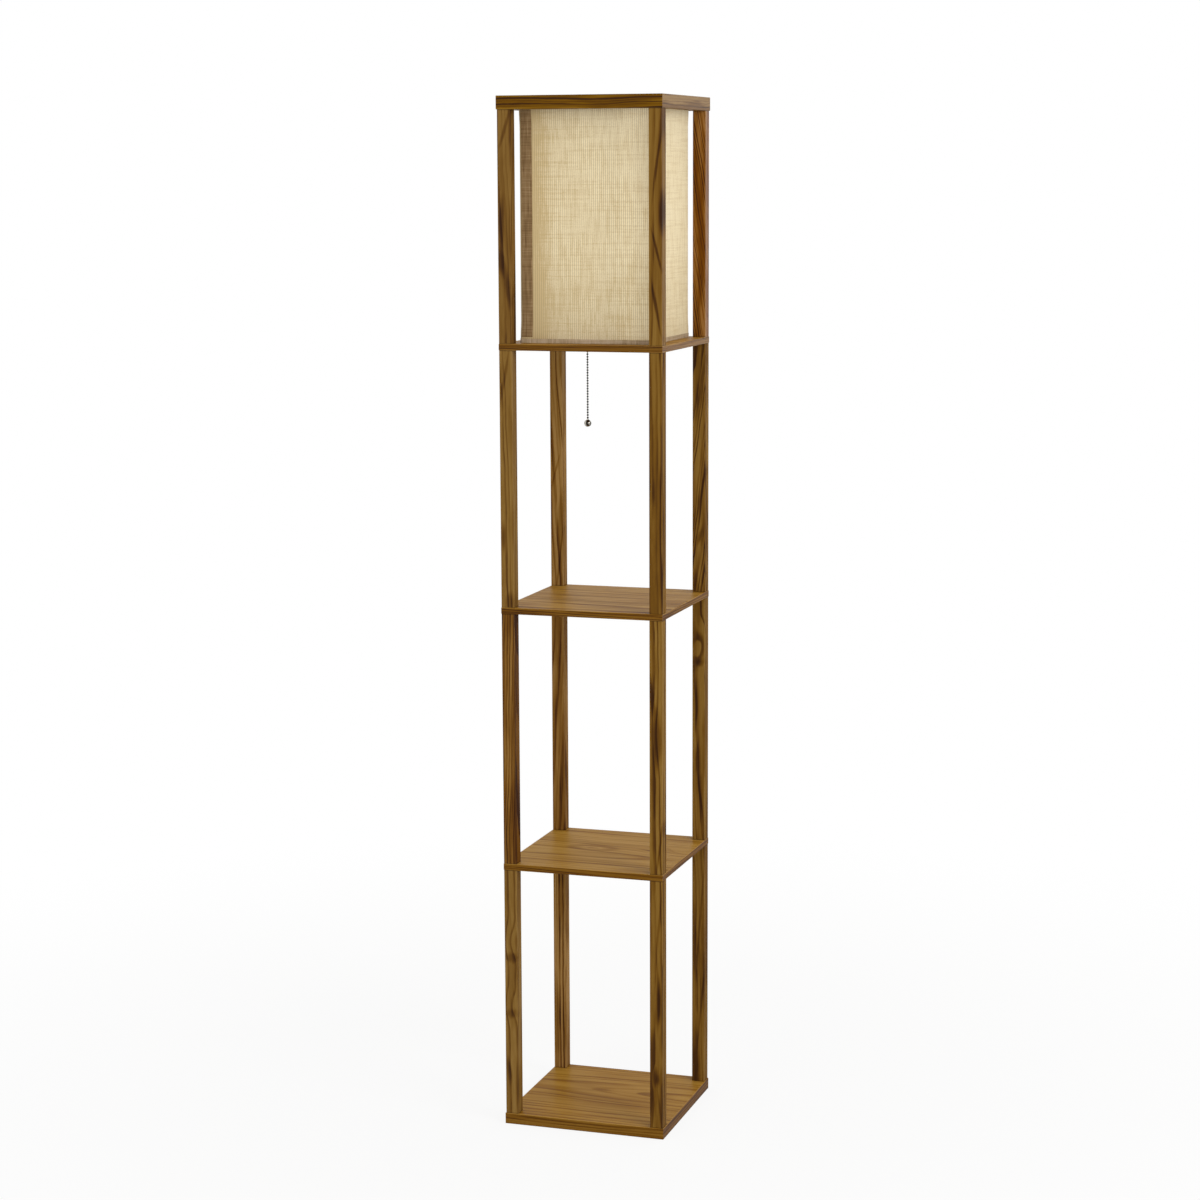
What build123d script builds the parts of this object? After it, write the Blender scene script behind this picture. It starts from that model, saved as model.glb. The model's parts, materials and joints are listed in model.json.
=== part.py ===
from build123d import *
import os

# Shelf floor lamp: four stacked sections of square posts between square plates, with a
# fabric shade dropped in at the top and a pull-chain lamp holder inside it. Millimetres,
# +Z up, front towards -Y, origin on the floor under the middle of the base.

os.makedirs("parts", exist_ok=True)

# --- frame ---
frame_width = 260.0
frame_depth = 260.0
base_thickness = 17.0
foot_pad_height = 2.0
foot_pad_recess = 1.0
foot_pad_radius = 10.0
foot_pad_inset = 34.0
post_stock = 20.5
cap_overhang = 1.2
shelf_overhang = 0.5
shelf_thickness = 10.0
section_length = 394.0
lamp_section_length = 349.5
top_rail_height = 20.5
top_rail_width = 20.5
edge_ease = 0.5

# --- fasteners of the frame ---
stud_radius = 3.0
stud_grip = 12.0
stud_hole_clearance = 0.25
thread_clearance = 0.05
insert_radius = 5.0
insert_length = 14.0
insert_hole_spare = 2.0
base_screw_head_radius = 5.8
base_screw_head_sink = 0.6
base_screw_angle = 90.0
dowel_radius = 4.0
dowel_clearance = 0.05
dowel_in_post = 18.0
dowel_in_rail = 13.0
dowel_end_gap = 1.0

# --- nipple through the lamp deck ---
nipple_radius = 5.0
nipple_bore = 3.5
nipple_above_deck = 8.0
nut_across_flats = 16.0
nut_height = 3.0
washer_radius = 12.0
washer_thickness = 1.0
nipple_below_nut = 0.5
bushing_bore = 2.6
bushing_flange_radius = 6.0
bushing_flange_height = 1.0
bushing_length = 8.0
part_clearance = 0.1

# --- lamp holder ---
cap_floor_radius = 12.0
cap_height = 18.0
cap_wall = 1.0
shell_radius = 19.0
shell_wall = 0.6
shell_height = 44.0
shell_overlap = 5.0
liner_wall = 0.8
switch_body_height = 22.0
switch_body_foot = 2.0
screw_shell_radius = 13.5
screw_shell_wall = 0.5
screw_shell_height = 20.0
contact_length = 13.0
contact_width = 5.0
contact_thickness = 0.5
contact_rise = 3.5
terminal_screw_radius = 2.6
terminal_screw_height = 2.2
terminal_screw_reach = 10.5

# --- pull chain ---
chain_reach = 30.0
arm_radius = 4.0
arm_bore = 2.4
arm_bend = 6.0
arm_drop = 10.0
arm_root = 0.5
arm_height = 37.0
bell_radius = 6.0
bell_height = 3.5
bead_radius = 1.6
bead_pitch = 4.1
chain_wire_radius = 0.5
chain_link_gap = 0.5
beads_top = 12
beads_middle = 6
beads_end = 20
end_ball_radius = 5.6
end_ball_neck = 1.0
end_ball_neck_radius = 1.5
grommet_bore = 2.6
grommet_wall = 0.9
grommet_flange_radius = 6.0
grommet_flange_height = 0.6

# --- bulb ---
bulb_length = 107.0
bulb_radius = 30.0
bulb_wall = 0.8
bulb_neck_radius = 13.6
bulb_cap_radius = 13.15
bulb_cap_wall = 0.4
bulb_cap_height = 22.0
bulb_tip_radius = 4.0
bulb_tip_height = 1.2
bulb_insulator_height = 3.0
bulb_seat_gap = 0.3

# --- shade ---
shade_post_clearance = 4.8
shade_deck_gap = 0.3
shade_over_rail = 8.5
shade_fabric = 0.6
shade_liner = 0.4
shade_corner = 3.0
shade_wire_radius = 1.5
shade_wire_inset = 0.3
shade_tape = 0.5
hem_height = 9.0
seam_width = 20.0

# --- levels and places that follow ---
base_bottom = foot_pad_height - foot_pad_recess
base_top = base_bottom + base_thickness
section_pitch = section_length + shelf_thickness
shelf_levels = [base_top + section_length + n * section_pitch for n in range(3)]
section_floors = [base_top] + [level + shelf_thickness for level in shelf_levels]
deck_bottom = shelf_levels[-1]
deck_top = deck_bottom + shelf_thickness
rail_bottom = deck_top + lamp_section_length
post_x = frame_width / 2 - cap_overhang - post_stock / 2
post_y = frame_depth / 2 - cap_overhang - post_stock / 2
shelf_width = frame_width - 2 * cap_overhang + 2 * shelf_overhang
shelf_depth = frame_depth - 2 * cap_overhang + 2 * shelf_overhang
stud_hole_radius = stud_radius + stud_hole_clearance
insert_bore = stud_radius + thread_clearance
insert_hole_radius = insert_radius + part_clearance
insert_hole_depth = insert_length + insert_hole_spare
dowel_hole_radius = dowel_radius + dowel_clearance
sides = {"front": -1, "back": 1}
hands = {"left": -1, "right": 1}

nut_top = deck_bottom - washer_thickness
nipple_bottom = nut_top - nut_height - nipple_below_nut
nipple_top = deck_top + nipple_above_deck
cap_top = deck_top + cap_height
shell_bottom = cap_top - shell_overlap
switch_bottom = shell_bottom + switch_body_foot
switch_top = switch_bottom + switch_body_height
liner_radius = shell_radius - shell_wall - part_clearance
switch_radius = liner_radius - liner_wall - part_clearance
contact_top = switch_top + contact_rise
contact_hole_radius = (contact_length**2 + contact_width**2) ** 0.5 / 2 + part_clearance
arm_level = deck_top + arm_height
arm_mouth = arm_level - arm_drop
chain_start = arm_level - arm_bend
bulb_bottom = contact_top + bulb_seat_gap
bulb_cap_bottom = bulb_bottom + bulb_tip_height + bulb_insulator_height
bulb_neck_level = bulb_cap_bottom + bulb_cap_height
bulb_top = bulb_bottom + bulb_length

shade_half_width = post_x - post_stock / 2 - shade_post_clearance
shade_half_depth = post_y - post_stock / 2 - shade_post_clearance
shade_bottom = deck_top + shade_deck_gap
shade_top = rail_bottom + shade_over_rail
shade_height = shade_top - shade_bottom


def save(piece, name):
    piece.part.label = name
    export_step(piece.part, f"parts/{name}.step")


def post_corners(level):
    return [(hand * post_x, side * post_y, level) for side in sides.values() for hand in hands.values()]


# Plates


def make_base_plate():
    with BuildPart() as base_plate:
        with BuildSketch(Plane.XY.offset(base_bottom)):
            Rectangle(frame_width, frame_depth)
        extrude(amount=base_thickness)
        chamfer(base_plate.edges().filter_by(Axis.Z), edge_ease)
        chamfer(base_plate.faces().sort_by(Axis.Z)[-1].outer_wire().edges(), edge_ease)
        underside = Plane.XY.offset(base_bottom).rotated((180, 0, 0))
        with Locations(underside):
            with GridLocations(2 * post_x, 2 * post_y, 2, 2):
                CounterSinkHole(stud_hole_radius, base_screw_head_radius, counter_sink_angle=base_screw_angle)
            with GridLocations(frame_width - 2 * foot_pad_inset, frame_depth - 2 * foot_pad_inset, 2, 2):
                Hole(foot_pad_radius + part_clearance, foot_pad_recess)
    save(base_plate, "base_plate")


def make_shelf(name, level, extra_holes=()):
    """A square plate with a stud hole over each post; extra_holes are (x, radius) on the X axis."""
    with BuildPart() as shelf:
        with BuildSketch(Plane.XY.offset(level)):
            Rectangle(shelf_width, shelf_depth)
            with GridLocations(2 * post_x, 2 * post_y, 2, 2):
                Circle(stud_hole_radius, mode=Mode.SUBTRACT)
            for x, radius in extra_holes:
                with Locations((x, 0)):
                    Circle(radius, mode=Mode.SUBTRACT)
        extrude(amount=shelf_thickness)
        corners = shelf.edges().filter_by(Axis.Z).filter_by(GeomType.LINE).group_by(Axis.X)
        chamfer(corners[0] + corners[-1], edge_ease)
        for face in (shelf.faces().sort_by(Axis.Z)[-1], shelf.faces().sort_by(Axis.Z)[0]):
            chamfer(face.outer_wire().edges(), edge_ease)
    save(shelf, name)


# Posts and top rails


def make_post(name, x, y, floor, length, dowelled):
    """One square post with a hole for a threaded insert in each end, or a dowel hole in its top."""
    with BuildPart() as post:
        with BuildSketch(Plane.XY.offset(floor)):
            with Locations((x, y)):
                Rectangle(post_stock, post_stock)
        extrude(amount=length)
        chamfer(post.edges().filter_by(Axis.Z), edge_ease)
        with BuildSketch(Plane.XY.offset(floor)):
            with Locations((x, y)):
                Circle(insert_hole_radius)
        extrude(amount=insert_hole_depth, mode=Mode.SUBTRACT)
        with BuildSketch(Plane.XY.offset(floor + length)):
            with Locations((x, y)):
                Circle(dowel_hole_radius if dowelled else insert_hole_radius)
        depth = dowel_in_post + dowel_end_gap if dowelled else insert_hole_depth
        extrude(amount=-depth, mode=Mode.SUBTRACT)
    save(post, name)


def make_posts():
    sections = zip(("lower", "middle", "upper", "shade"), section_floors)
    for section, floor in sections:
        topmost = section == "shade"
        length = lamp_section_length if topmost else section_length
        for side_name, side in sides.items():
            for hand_name, hand in hands.items():
                name = f"{section}_post_{side_name}_{hand_name}"
                make_post(name, hand * post_x, side * post_y, floor, length, topmost)


def make_top_rail(name, length, offset, turn):
    """A rail of the open top frame, mitred at both ends and drilled from below for the corner dowels."""
    inner = length - 2 * top_rail_width
    across = Plane.XY.offset(rail_bottom).rotated((0, 0, turn))
    with BuildPart() as rail:
        with BuildSketch(across):
            with BuildLine():
                Polyline(
                    (-length / 2, -offset),
                    (length / 2, -offset),
                    (inner / 2, top_rail_width - offset),
                    (-inner / 2, top_rail_width - offset),
                    close=True,
                )
            make_face()
        extrude(amount=top_rail_height)
        lengthwise = Axis.X if turn % 180 == 0 else Axis.Y
        chamfer(rail.edges().filter_by(lengthwise), edge_ease)
        with BuildSketch(Plane.XY.offset(rail_bottom)):
            with GridLocations(2 * post_x, 2 * post_y, 2, 2):
                Circle(dowel_hole_radius)
        extrude(amount=dowel_in_rail + dowel_end_gap, mode=Mode.SUBTRACT)
    save(rail, name)


def make_top_rails():
    make_top_rail("top_rail_front", frame_width, frame_depth / 2, 0)
    make_top_rail("top_rail_right", frame_depth, frame_width / 2, 90)
    make_top_rail("top_rail_back", frame_width, frame_depth / 2, 180)
    make_top_rail("top_rail_left", frame_depth, frame_width / 2, 270)


# Fasteners of the frame


def make_connector_studs():
    with BuildPart() as connector_studs:
        for level in shelf_levels:
            with Locations(*post_corners(level - stud_grip)):
                bottom = (Align.CENTER, Align.CENTER, Align.MIN)
                Cylinder(stud_radius, shelf_thickness + 2 * stud_grip, align=bottom)
    save(connector_studs, "connector_studs")


def make_threaded_inserts():
    """Inserts in both ends of the three lower post sections and in the foot of the shade posts."""
    feet = section_floors
    heads = [level - insert_length for level in shelf_levels]
    with BuildPart() as threaded_inserts:
        for level in feet + heads:
            with BuildSketch(Plane.XY.offset(level)):
                with GridLocations(2 * post_x, 2 * post_y, 2, 2):
                    Circle(insert_radius)
                    Circle(insert_bore, mode=Mode.SUBTRACT)
            extrude(amount=insert_length)
    save(threaded_inserts, "threaded_inserts")


def make_base_screws():
    head_bottom = base_bottom + base_screw_head_sink
    head_radius = base_screw_head_radius - base_screw_head_sink - part_clearance
    head_height = head_radius - stud_radius
    with BuildPart() as base_screws:
        for corner in post_corners(0):
            with BuildSketch(Plane.XZ.offset(-corner[1])):
                with BuildLine():
                    Polyline(
                        (corner[0], head_bottom),
                        (corner[0] + head_radius, head_bottom),
                        (corner[0] + stud_radius, head_bottom + head_height),
                        (corner[0] + stud_radius, base_top + stud_grip),
                        (corner[0], base_top + stud_grip),
                        close=True,
                    )
                make_face()
            revolve(axis=Axis((corner[0], corner[1], 0), (0, 0, 1)))
    save(base_screws, "base_screws")


def make_top_dowels():
    with BuildPart() as top_dowels:
        with Locations(*post_corners(rail_bottom - dowel_in_post)):
            bottom = (Align.CENTER, Align.CENTER, Align.MIN)
            Cylinder(dowel_radius, dowel_in_post + dowel_in_rail, align=bottom)
    save(top_dowels, "top_dowels")


def make_foot_pads():
    with BuildPart() as foot_pads:
        with BuildSketch():
            with GridLocations(frame_width - 2 * foot_pad_inset, frame_depth - 2 * foot_pad_inset, 2, 2):
                Circle(foot_pad_radius)
        extrude(amount=foot_pad_height)
    save(foot_pads, "foot_pads")


# Nipple and its fittings in the lamp deck


def make_tube(name, level, height, outer, inner):
    """A plain round tube on the lamp's axis."""
    with BuildPart() as tube:
        with BuildSketch(Plane.XY.offset(level)):
            Circle(outer)
            Circle(inner, mode=Mode.SUBTRACT)
        extrude(amount=height)
    save(tube, name)


def make_hex_nut(name, level):
    with BuildPart() as nut:
        with BuildSketch(Plane.XY.offset(level)):
            RegularPolygon(nut_across_flats / 2, 6, major_radius=False)
            Circle(nipple_radius + thread_clearance, mode=Mode.SUBTRACT)
        extrude(amount=nut_height)
    save(nut, name)


def make_cord_bushing():
    """The insulating bushing pushed up into the nipple's lower end, where the supply lead enters."""
    with BuildPart() as cord_bushing:
        with BuildSketch(Plane.XY.offset(nipple_bottom - bushing_flange_height)):
            Circle(bushing_flange_radius)
        extrude(amount=bushing_flange_height)
        with BuildSketch(Plane.XY.offset(nipple_bottom)):
            Circle(nipple_bore - thread_clearance)
        extrude(amount=bushing_length - bushing_flange_height)
        with BuildSketch(Plane.XY.offset(nipple_bottom - bushing_flange_height)):
            Circle(bushing_bore)
        extrude(amount=bushing_length, mode=Mode.SUBTRACT)
    save(cord_bushing, "cord_bushing")


def make_nipple_fittings():
    make_tube("hollow_nipple", nipple_bottom, nipple_top - nipple_bottom, nipple_radius, nipple_bore)
    make_tube("nut_washer", nut_top, washer_thickness, washer_radius, nipple_radius + part_clearance)
    make_hex_nut("nipple_nut", nut_top - nut_height)
    make_hex_nut("cap_nut", deck_top + cap_wall)
    make_cord_bushing()


# Lamp holder


def make_socket_cap():
    """The cup that the nipple holds to the deck; its rim goes round the foot of the shell."""
    rim = shell_radius + part_clearance
    with BuildPart() as socket_cap:
        with BuildSketch(Plane.XZ):
            with BuildLine():
                outside = Polyline(
                    (nipple_radius + part_clearance, deck_top),
                    (cap_floor_radius, deck_top),
                )
                flare = TangentArc(
                    outside @ 1,
                    (rim + cap_wall, cap_top - shell_overlap),
                    tangent=(1, 0),
                )
                Polyline(
                    flare @ 1,
                    (rim + cap_wall, cap_top),
                    (rim, cap_top),
                    (rim, cap_top - shell_overlap),
                    (cap_floor_radius, deck_top + cap_wall),
                    (nipple_radius + part_clearance, deck_top + cap_wall),
                    outside @ 0,
                )
            make_face()
        revolve(axis=Axis.Z)
    save(socket_cap, "socket_cap")


def make_sleeve(name, outer, wall, level, height):
    """A thin sleeve of the holder with a round hole on its left for the chain arm."""
    with BuildPart() as sleeve:
        with BuildSketch(Plane.XY.offset(level)):
            Circle(outer)
            Circle(outer - wall, mode=Mode.SUBTRACT)
        extrude(amount=height)
        with BuildSketch(Plane.YZ):
            with Locations((0, arm_level)):
                Circle(arm_radius + part_clearance)
        extrude(amount=-shell_radius - wall, mode=Mode.SUBTRACT)
    save(sleeve, name)


def make_switch_body():
    """The switch block, with a pocket for the inner end of the chain arm and two terminal flats."""
    with BuildPart() as switch_body:
        with BuildSketch(Plane.XY.offset(switch_bottom)):
            Circle(switch_radius)
            for side in sides.values():
                with Locations((0, side * (terminal_screw_reach + switch_radius))):
                    Rectangle(switch_radius, 2 * switch_radius, mode=Mode.SUBTRACT)
        extrude(amount=switch_body_height)
        with BuildSketch(Plane.YZ.offset(-switch_radius)):
            with Locations((0, arm_level)):
                Circle(arm_radius + part_clearance)
        extrude(amount=arm_bend, mode=Mode.SUBTRACT)
    save(switch_body, "switch_body")


def make_terminal_screws():
    level = (switch_bottom + switch_top) / 2
    with BuildPart() as terminal_screws:
        for side in sides.values():
            with BuildSketch(Plane.XZ.offset(-side * terminal_screw_reach)):
                with Locations((0, level)):
                    Circle(terminal_screw_radius)
            extrude(amount=-side * terminal_screw_height)
    save(terminal_screws, "terminal_screws")


def make_screw_shell():
    with BuildPart() as screw_shell:
        with BuildSketch(Plane.XY.offset(switch_top)):
            Circle(screw_shell_radius + screw_shell_wall)
            Circle(contact_hole_radius, mode=Mode.SUBTRACT)
        extrude(amount=screw_shell_wall)
        with BuildSketch(Plane.XY.offset(switch_top)):
            Circle(screw_shell_radius + screw_shell_wall)
            Circle(screw_shell_radius, mode=Mode.SUBTRACT)
        extrude(amount=screw_shell_height)
    save(screw_shell, "screw_shell")


def make_centre_contact():
    """The springy tongue under the bulb: a foot on the switch body and a raised end."""
    half = contact_length / 2 - part_clearance
    with BuildPart() as centre_contact:
        with BuildSketch(Plane.XZ):
            with BuildLine():
                Polyline(
                    (-half, switch_top),
                    (-half / 2, switch_top),
                    (contact_thickness, contact_top - contact_thickness),
                    (half / 2, contact_top - contact_thickness),
                    (half / 2, contact_top),
                    (0, contact_top),
                    (-half / 2 - contact_thickness, switch_top + contact_thickness),
                    (-half, switch_top + contact_thickness),
                    close=True,
                )
            make_face()
        extrude(amount=contact_width / 2, both=True)
    save(centre_contact, "centre_contact")


def make_chain_arm():
    """The elbow that leads the chain out of the holder and down, with a bell mouth."""
    root = (-(switch_radius - arm_root), 0, arm_level)
    with BuildPart() as chain_arm:
        with BuildLine():
            route = FilletPolyline(
                root,
                (-chain_reach, 0, arm_level),
                (-chain_reach, 0, arm_mouth),
                radius=arm_bend,
            )
        with BuildSketch(Plane(root, z_dir=(-1, 0, 0))):
            Circle(arm_radius - part_clearance)
            Circle(arm_bore, mode=Mode.SUBTRACT)
        sweep(path=route)
        with BuildSketch(Plane.XZ):
            with BuildLine():
                Polyline(
                    (-chain_reach + arm_bore, arm_mouth),
                    (-chain_reach + arm_radius - part_clearance, arm_mouth),
                    (-chain_reach + bell_radius, arm_mouth - bell_height),
                    (-chain_reach + bell_radius - shell_wall, arm_mouth - bell_height),
                    close=True,
                )
            make_face()
        revolve(axis=Axis((-chain_reach, 0, 0), (0, 0, 1)))
    save(chain_arm, "chain_arm")


# Pull chain


def bead_level(number):
    return chain_start - number * bead_pitch


def make_chain(name, first, count, top_gap, bottom_gap):
    """A run of ball chain: beads on a fine wire, which ends half a link gap short of its neighbour."""
    wire_top = bead_level(first) + bead_pitch / 2 - top_gap
    wire_bottom = bead_level(first + count - 1) - bead_pitch / 2 + bottom_gap
    with BuildPart() as chain:
        with Locations(*[(-chain_reach, 0, bead_level(first + n)) for n in range(count)]):
            Sphere(bead_radius)
        with BuildSketch(Plane.XY.offset(wire_bottom)):
            with Locations((-chain_reach, 0)):
                Circle(chain_wire_radius)
        extrude(amount=wire_top - wire_bottom)
    save(chain, name)


def make_end_ball():
    """The ball pull, with a short neck that grips the chain's last link."""
    neck_top = bead_level(beads_top + beads_middle + beads_end - 1) - bead_pitch / 2
    ball_level = neck_top - end_ball_neck - end_ball_radius
    with BuildPart() as end_ball:
        with BuildSketch(Plane.XY.offset(ball_level)):
            with Locations((-chain_reach, 0)):
                Circle(end_ball_neck_radius)
        extrude(amount=neck_top - ball_level)
        with Locations((-chain_reach, 0, ball_level)):
            Sphere(end_ball_radius)
    save(end_ball, "end_ball")


def make_chain_grommet():
    """The metal eyelet that lines the chain's hole through the deck."""
    flange_top = deck_top + grommet_flange_height
    flange_bottom = deck_bottom - grommet_flange_height
    outer = grommet_bore + grommet_wall
    with BuildPart() as chain_grommet:
        with BuildSketch(Plane.XZ):
            with BuildLine():
                Polyline(
                    (grommet_bore - chain_reach, flange_bottom),
                    (grommet_flange_radius - chain_reach, flange_bottom),
                    (grommet_flange_radius - chain_reach, deck_bottom),
                    (outer - chain_reach, deck_bottom),
                    (outer - chain_reach, deck_top),
                    (grommet_flange_radius - chain_reach, deck_top),
                    (grommet_flange_radius - chain_reach, flange_top),
                    (grommet_bore - chain_reach, flange_top),
                    close=True,
                )
            make_face()
        revolve(axis=Axis((-chain_reach, 0, 0), (0, 0, 1)))
    save(chain_grommet, "chain_grommet")


def make_pull_chain():
    gap = chain_link_gap / 2
    make_chain("chain_top", 0, beads_top, 0, gap)
    make_chain("chain_middle", beads_top, beads_middle, gap, gap)
    make_chain("chain_end", beads_top + beads_middle, beads_end, gap, 0)
    make_end_ball()
    make_chain_grommet()


# Bulb


def make_bulb_glass():
    """The pear-shaped envelope: neck in the cap, a swelling shoulder and a round crown."""
    crown = bulb_top - bulb_radius
    neck = bulb_neck_level - bulb_cap_height / 2
    grip = bulb_cap_radius - bulb_cap_wall - part_clearance
    with BuildPart() as bulb_glass:
        with BuildSketch(Plane.XZ):
            with BuildLine():
                foot = Line((grip - bulb_wall, neck), (grip, neck))
                stem = Line(foot @ 1, (grip, bulb_neck_level))
                collar = Line(stem @ 1, (bulb_neck_radius, bulb_neck_level))
                shoulder = Spline(
                    collar @ 1,
                    (bulb_radius, crown),
                    tangents=((0, 1), (0, 1)),
                )
                dome = CenterArc((0, crown), bulb_radius, 0, 90)
                Line(dome @ 1, (0, bulb_top - bulb_wall))
                inner_dome = CenterArc((0, crown), bulb_radius - bulb_wall, 0, 90)
                inner_shoulder = Spline(
                    (bulb_neck_radius - bulb_wall, bulb_neck_level + bulb_wall),
                    inner_dome @ 0,
                    tangents=((0, 1), (0, 1)),
                )
                Polyline(
                    inner_shoulder @ 0,
                    (grip - bulb_wall, bulb_neck_level + bulb_wall),
                    foot @ 0,
                )
            make_face()
        revolve(axis=Axis.Z)
    save(bulb_glass, "bulb_glass")


def make_bulb_cap():
    inner = bulb_cap_radius - bulb_cap_wall
    with BuildPart() as bulb_cap:
        with BuildSketch(Plane.XY.offset(bulb_cap_bottom)):
            Circle(bulb_cap_radius)
        extrude(amount=bulb_cap_wall)
        with BuildSketch(Plane.XY.offset(bulb_cap_bottom)):
            Circle(bulb_cap_radius)
            Circle(inner, mode=Mode.SUBTRACT)
        extrude(amount=bulb_cap_height)
        chamfer(bulb_cap.faces().sort_by(Axis.Z)[0].outer_wire().edges(), bulb_cap_wall / 2)
    save(bulb_cap, "bulb_cap")


def make_bulb_base():
    """The insulating cone under the bulb's cap, and the contact at its tip."""
    tip_top = bulb_bottom + bulb_tip_height
    with BuildPart() as bulb_insulator:
        Cone(
            bulb_tip_radius,
            bulb_cap_radius - bulb_insulator_height,
            bulb_insulator_height,
            align=(Align.CENTER, Align.CENTER, Align.MIN),
        )
    bulb_insulator.part.position = (0, 0, tip_top)
    save(bulb_insulator, "bulb_insulator")
    with BuildPart() as bulb_contact:
        with BuildSketch(Plane.XY.offset(bulb_bottom)):
            Circle(bulb_tip_radius)
        extrude(amount=bulb_tip_height)
    save(bulb_contact, "bulb_contact")


# Shade


def shade_ring(outset, wall):
    """A rounded rectangular ring, its outside standing outset from the fabric's face."""
    half_x = shade_half_width + outset
    half_y = shade_half_depth + outset
    RectangleRounded(2 * half_x, 2 * half_y, shade_corner + outset)
    RectangleRounded(
        2 * (half_x - wall),
        2 * (half_y - wall),
        shade_corner + outset - wall,
        mode=Mode.SUBTRACT,
    )


def make_shade_tube(name, level, height, outset, wall):
    with BuildPart() as tube:
        with BuildSketch(Plane.XY.offset(level)):
            shade_ring(outset, wall)
        extrude(amount=height)
    save(tube, name)


def make_shade_seam():
    """The lap where the fabric's two ends meet, on the front face by the left corner."""
    left = -shade_half_width + shade_corner
    with BuildPart() as shade_seam:
        with BuildSketch(Plane.XY.offset(shade_bottom + hem_height)):
            with Locations((left, -shade_half_depth - shade_tape)):
                Rectangle(seam_width - shade_corner, shade_tape, align=(Align.MIN, Align.MIN))
        extrude(amount=shade_height - 2 * hem_height)
    save(shade_seam, "shade_seam")


def make_shade_wire(name, level):
    """A round wire bent to the shade's outline, just inside the liner."""
    inset = shade_fabric + shade_liner + part_clearance + shade_wire_radius
    half_x = shade_half_width - inset
    half_y = shade_half_depth - inset
    bend = shade_corner + shade_wire_radius
    with BuildPart() as wire:
        with BuildLine(Plane.XY.offset(level)):
            route = FilletPolyline(
                (-half_x, -half_y),
                (half_x, -half_y),
                (half_x, half_y),
                (-half_x, half_y),
                radius=bend,
                close=True,
            )
        with BuildSketch(Plane(route @ 0, z_dir=route % 0)):
            Circle(shade_wire_radius)
        sweep(path=route)
    save(wire, name)


def make_shade():
    make_shade_tube("shade_fabric", shade_bottom, shade_height, 0, shade_fabric)
    make_shade_tube("shade_liner", shade_bottom, shade_height, -shade_fabric, shade_liner)
    make_shade_tube("shade_hem_bottom", shade_bottom, hem_height, shade_tape, shade_tape)
    make_shade_tube("shade_hem_top", shade_top - hem_height, hem_height, shade_tape, shade_tape)
    make_shade_seam()
    make_shade_wire("shade_wire_bottom", shade_bottom + shade_wire_radius + shade_wire_inset)
    make_shade_wire("shade_wire_top", shade_top - shade_wire_radius - shade_wire_inset)


make_base_plate()
make_shelf("lower_shelf", shelf_levels[0])
make_shelf("middle_shelf", shelf_levels[1])
make_shelf(
    "lamp_deck",
    deck_bottom,
    (
        (0, nipple_radius + part_clearance),
        (-chain_reach, grommet_bore + grommet_wall + part_clearance),
    ),
)
make_posts()
make_top_rails()
make_connector_studs()
make_threaded_inserts()
make_base_screws()
make_top_dowels()
make_foot_pads()
make_nipple_fittings()
make_socket_cap()
make_sleeve("socket_shell", shell_radius, shell_wall, shell_bottom, shell_height)
make_sleeve("socket_liner", liner_radius, liner_wall, shell_bottom, shell_height)
make_switch_body()
make_terminal_screws()
make_screw_shell()
make_centre_contact()
make_chain_arm()
make_pull_chain()
make_bulb_glass()
make_bulb_cap()
make_bulb_base()
make_shade()
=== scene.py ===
import json
import math

import bmesh
import bpy
from mathutils import Matrix, Vector
from mathutils import noise as fabricNoise


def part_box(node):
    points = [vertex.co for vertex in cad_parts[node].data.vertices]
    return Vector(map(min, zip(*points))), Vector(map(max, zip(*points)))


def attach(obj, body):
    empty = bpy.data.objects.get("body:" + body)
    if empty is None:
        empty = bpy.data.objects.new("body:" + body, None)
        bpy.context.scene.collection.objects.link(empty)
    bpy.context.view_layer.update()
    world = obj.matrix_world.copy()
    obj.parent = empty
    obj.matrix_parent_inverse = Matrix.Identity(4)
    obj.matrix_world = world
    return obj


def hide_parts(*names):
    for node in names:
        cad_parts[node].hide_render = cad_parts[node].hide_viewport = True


# Shelf floor lamp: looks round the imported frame. Metres, +Z up, front towards -Y.

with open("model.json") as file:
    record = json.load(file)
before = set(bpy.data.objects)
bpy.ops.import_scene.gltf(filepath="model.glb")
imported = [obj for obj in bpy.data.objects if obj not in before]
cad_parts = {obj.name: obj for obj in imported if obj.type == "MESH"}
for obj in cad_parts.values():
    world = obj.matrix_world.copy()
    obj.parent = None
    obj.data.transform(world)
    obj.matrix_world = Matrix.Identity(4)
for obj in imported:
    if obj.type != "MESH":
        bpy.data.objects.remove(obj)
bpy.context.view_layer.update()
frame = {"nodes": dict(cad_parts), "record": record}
bpy.ops.object.select_all(action="DESELECT")
mm = 0.001
print("frame loaded:", len(frame["nodes"]), "nodes")

camera = {
    "place": (1.3132, -4.1089, 1.4888),
    "turn": 17.867,  # degrees to the left of straight at the front
    "tilt": 8.761,  # degrees down
    "roll": -0.244,
    "lens": 83.63,
    "sensor": 36.0,
    "clip": (0.01, 200.0),
}


def makeCamera(view):
    lens = bpy.data.cameras.new("camera")
    lens.lens = view["lens"]
    lens.sensor_width = view["sensor"]
    lens.clip_start, lens.clip_end = view["clip"]
    eye = bpy.data.objects.new("camera", lens)
    bpy.context.scene.collection.objects.link(eye)
    turn = Matrix.Rotation(math.radians(view["turn"]), 4, "Z")
    tilt = Matrix.Rotation(math.radians(90 - view["tilt"]), 4, "X")
    roll = Matrix.Rotation(math.radians(view["roll"]), 4, "Z")
    eye.matrix_world = Matrix.Translation(view["place"]) @ turn @ tilt @ roll
    bpy.context.scene.camera = eye


makeCamera(camera)
bpy.context.scene.view_settings.view_transform = "Standard"
print("camera ready")


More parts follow.
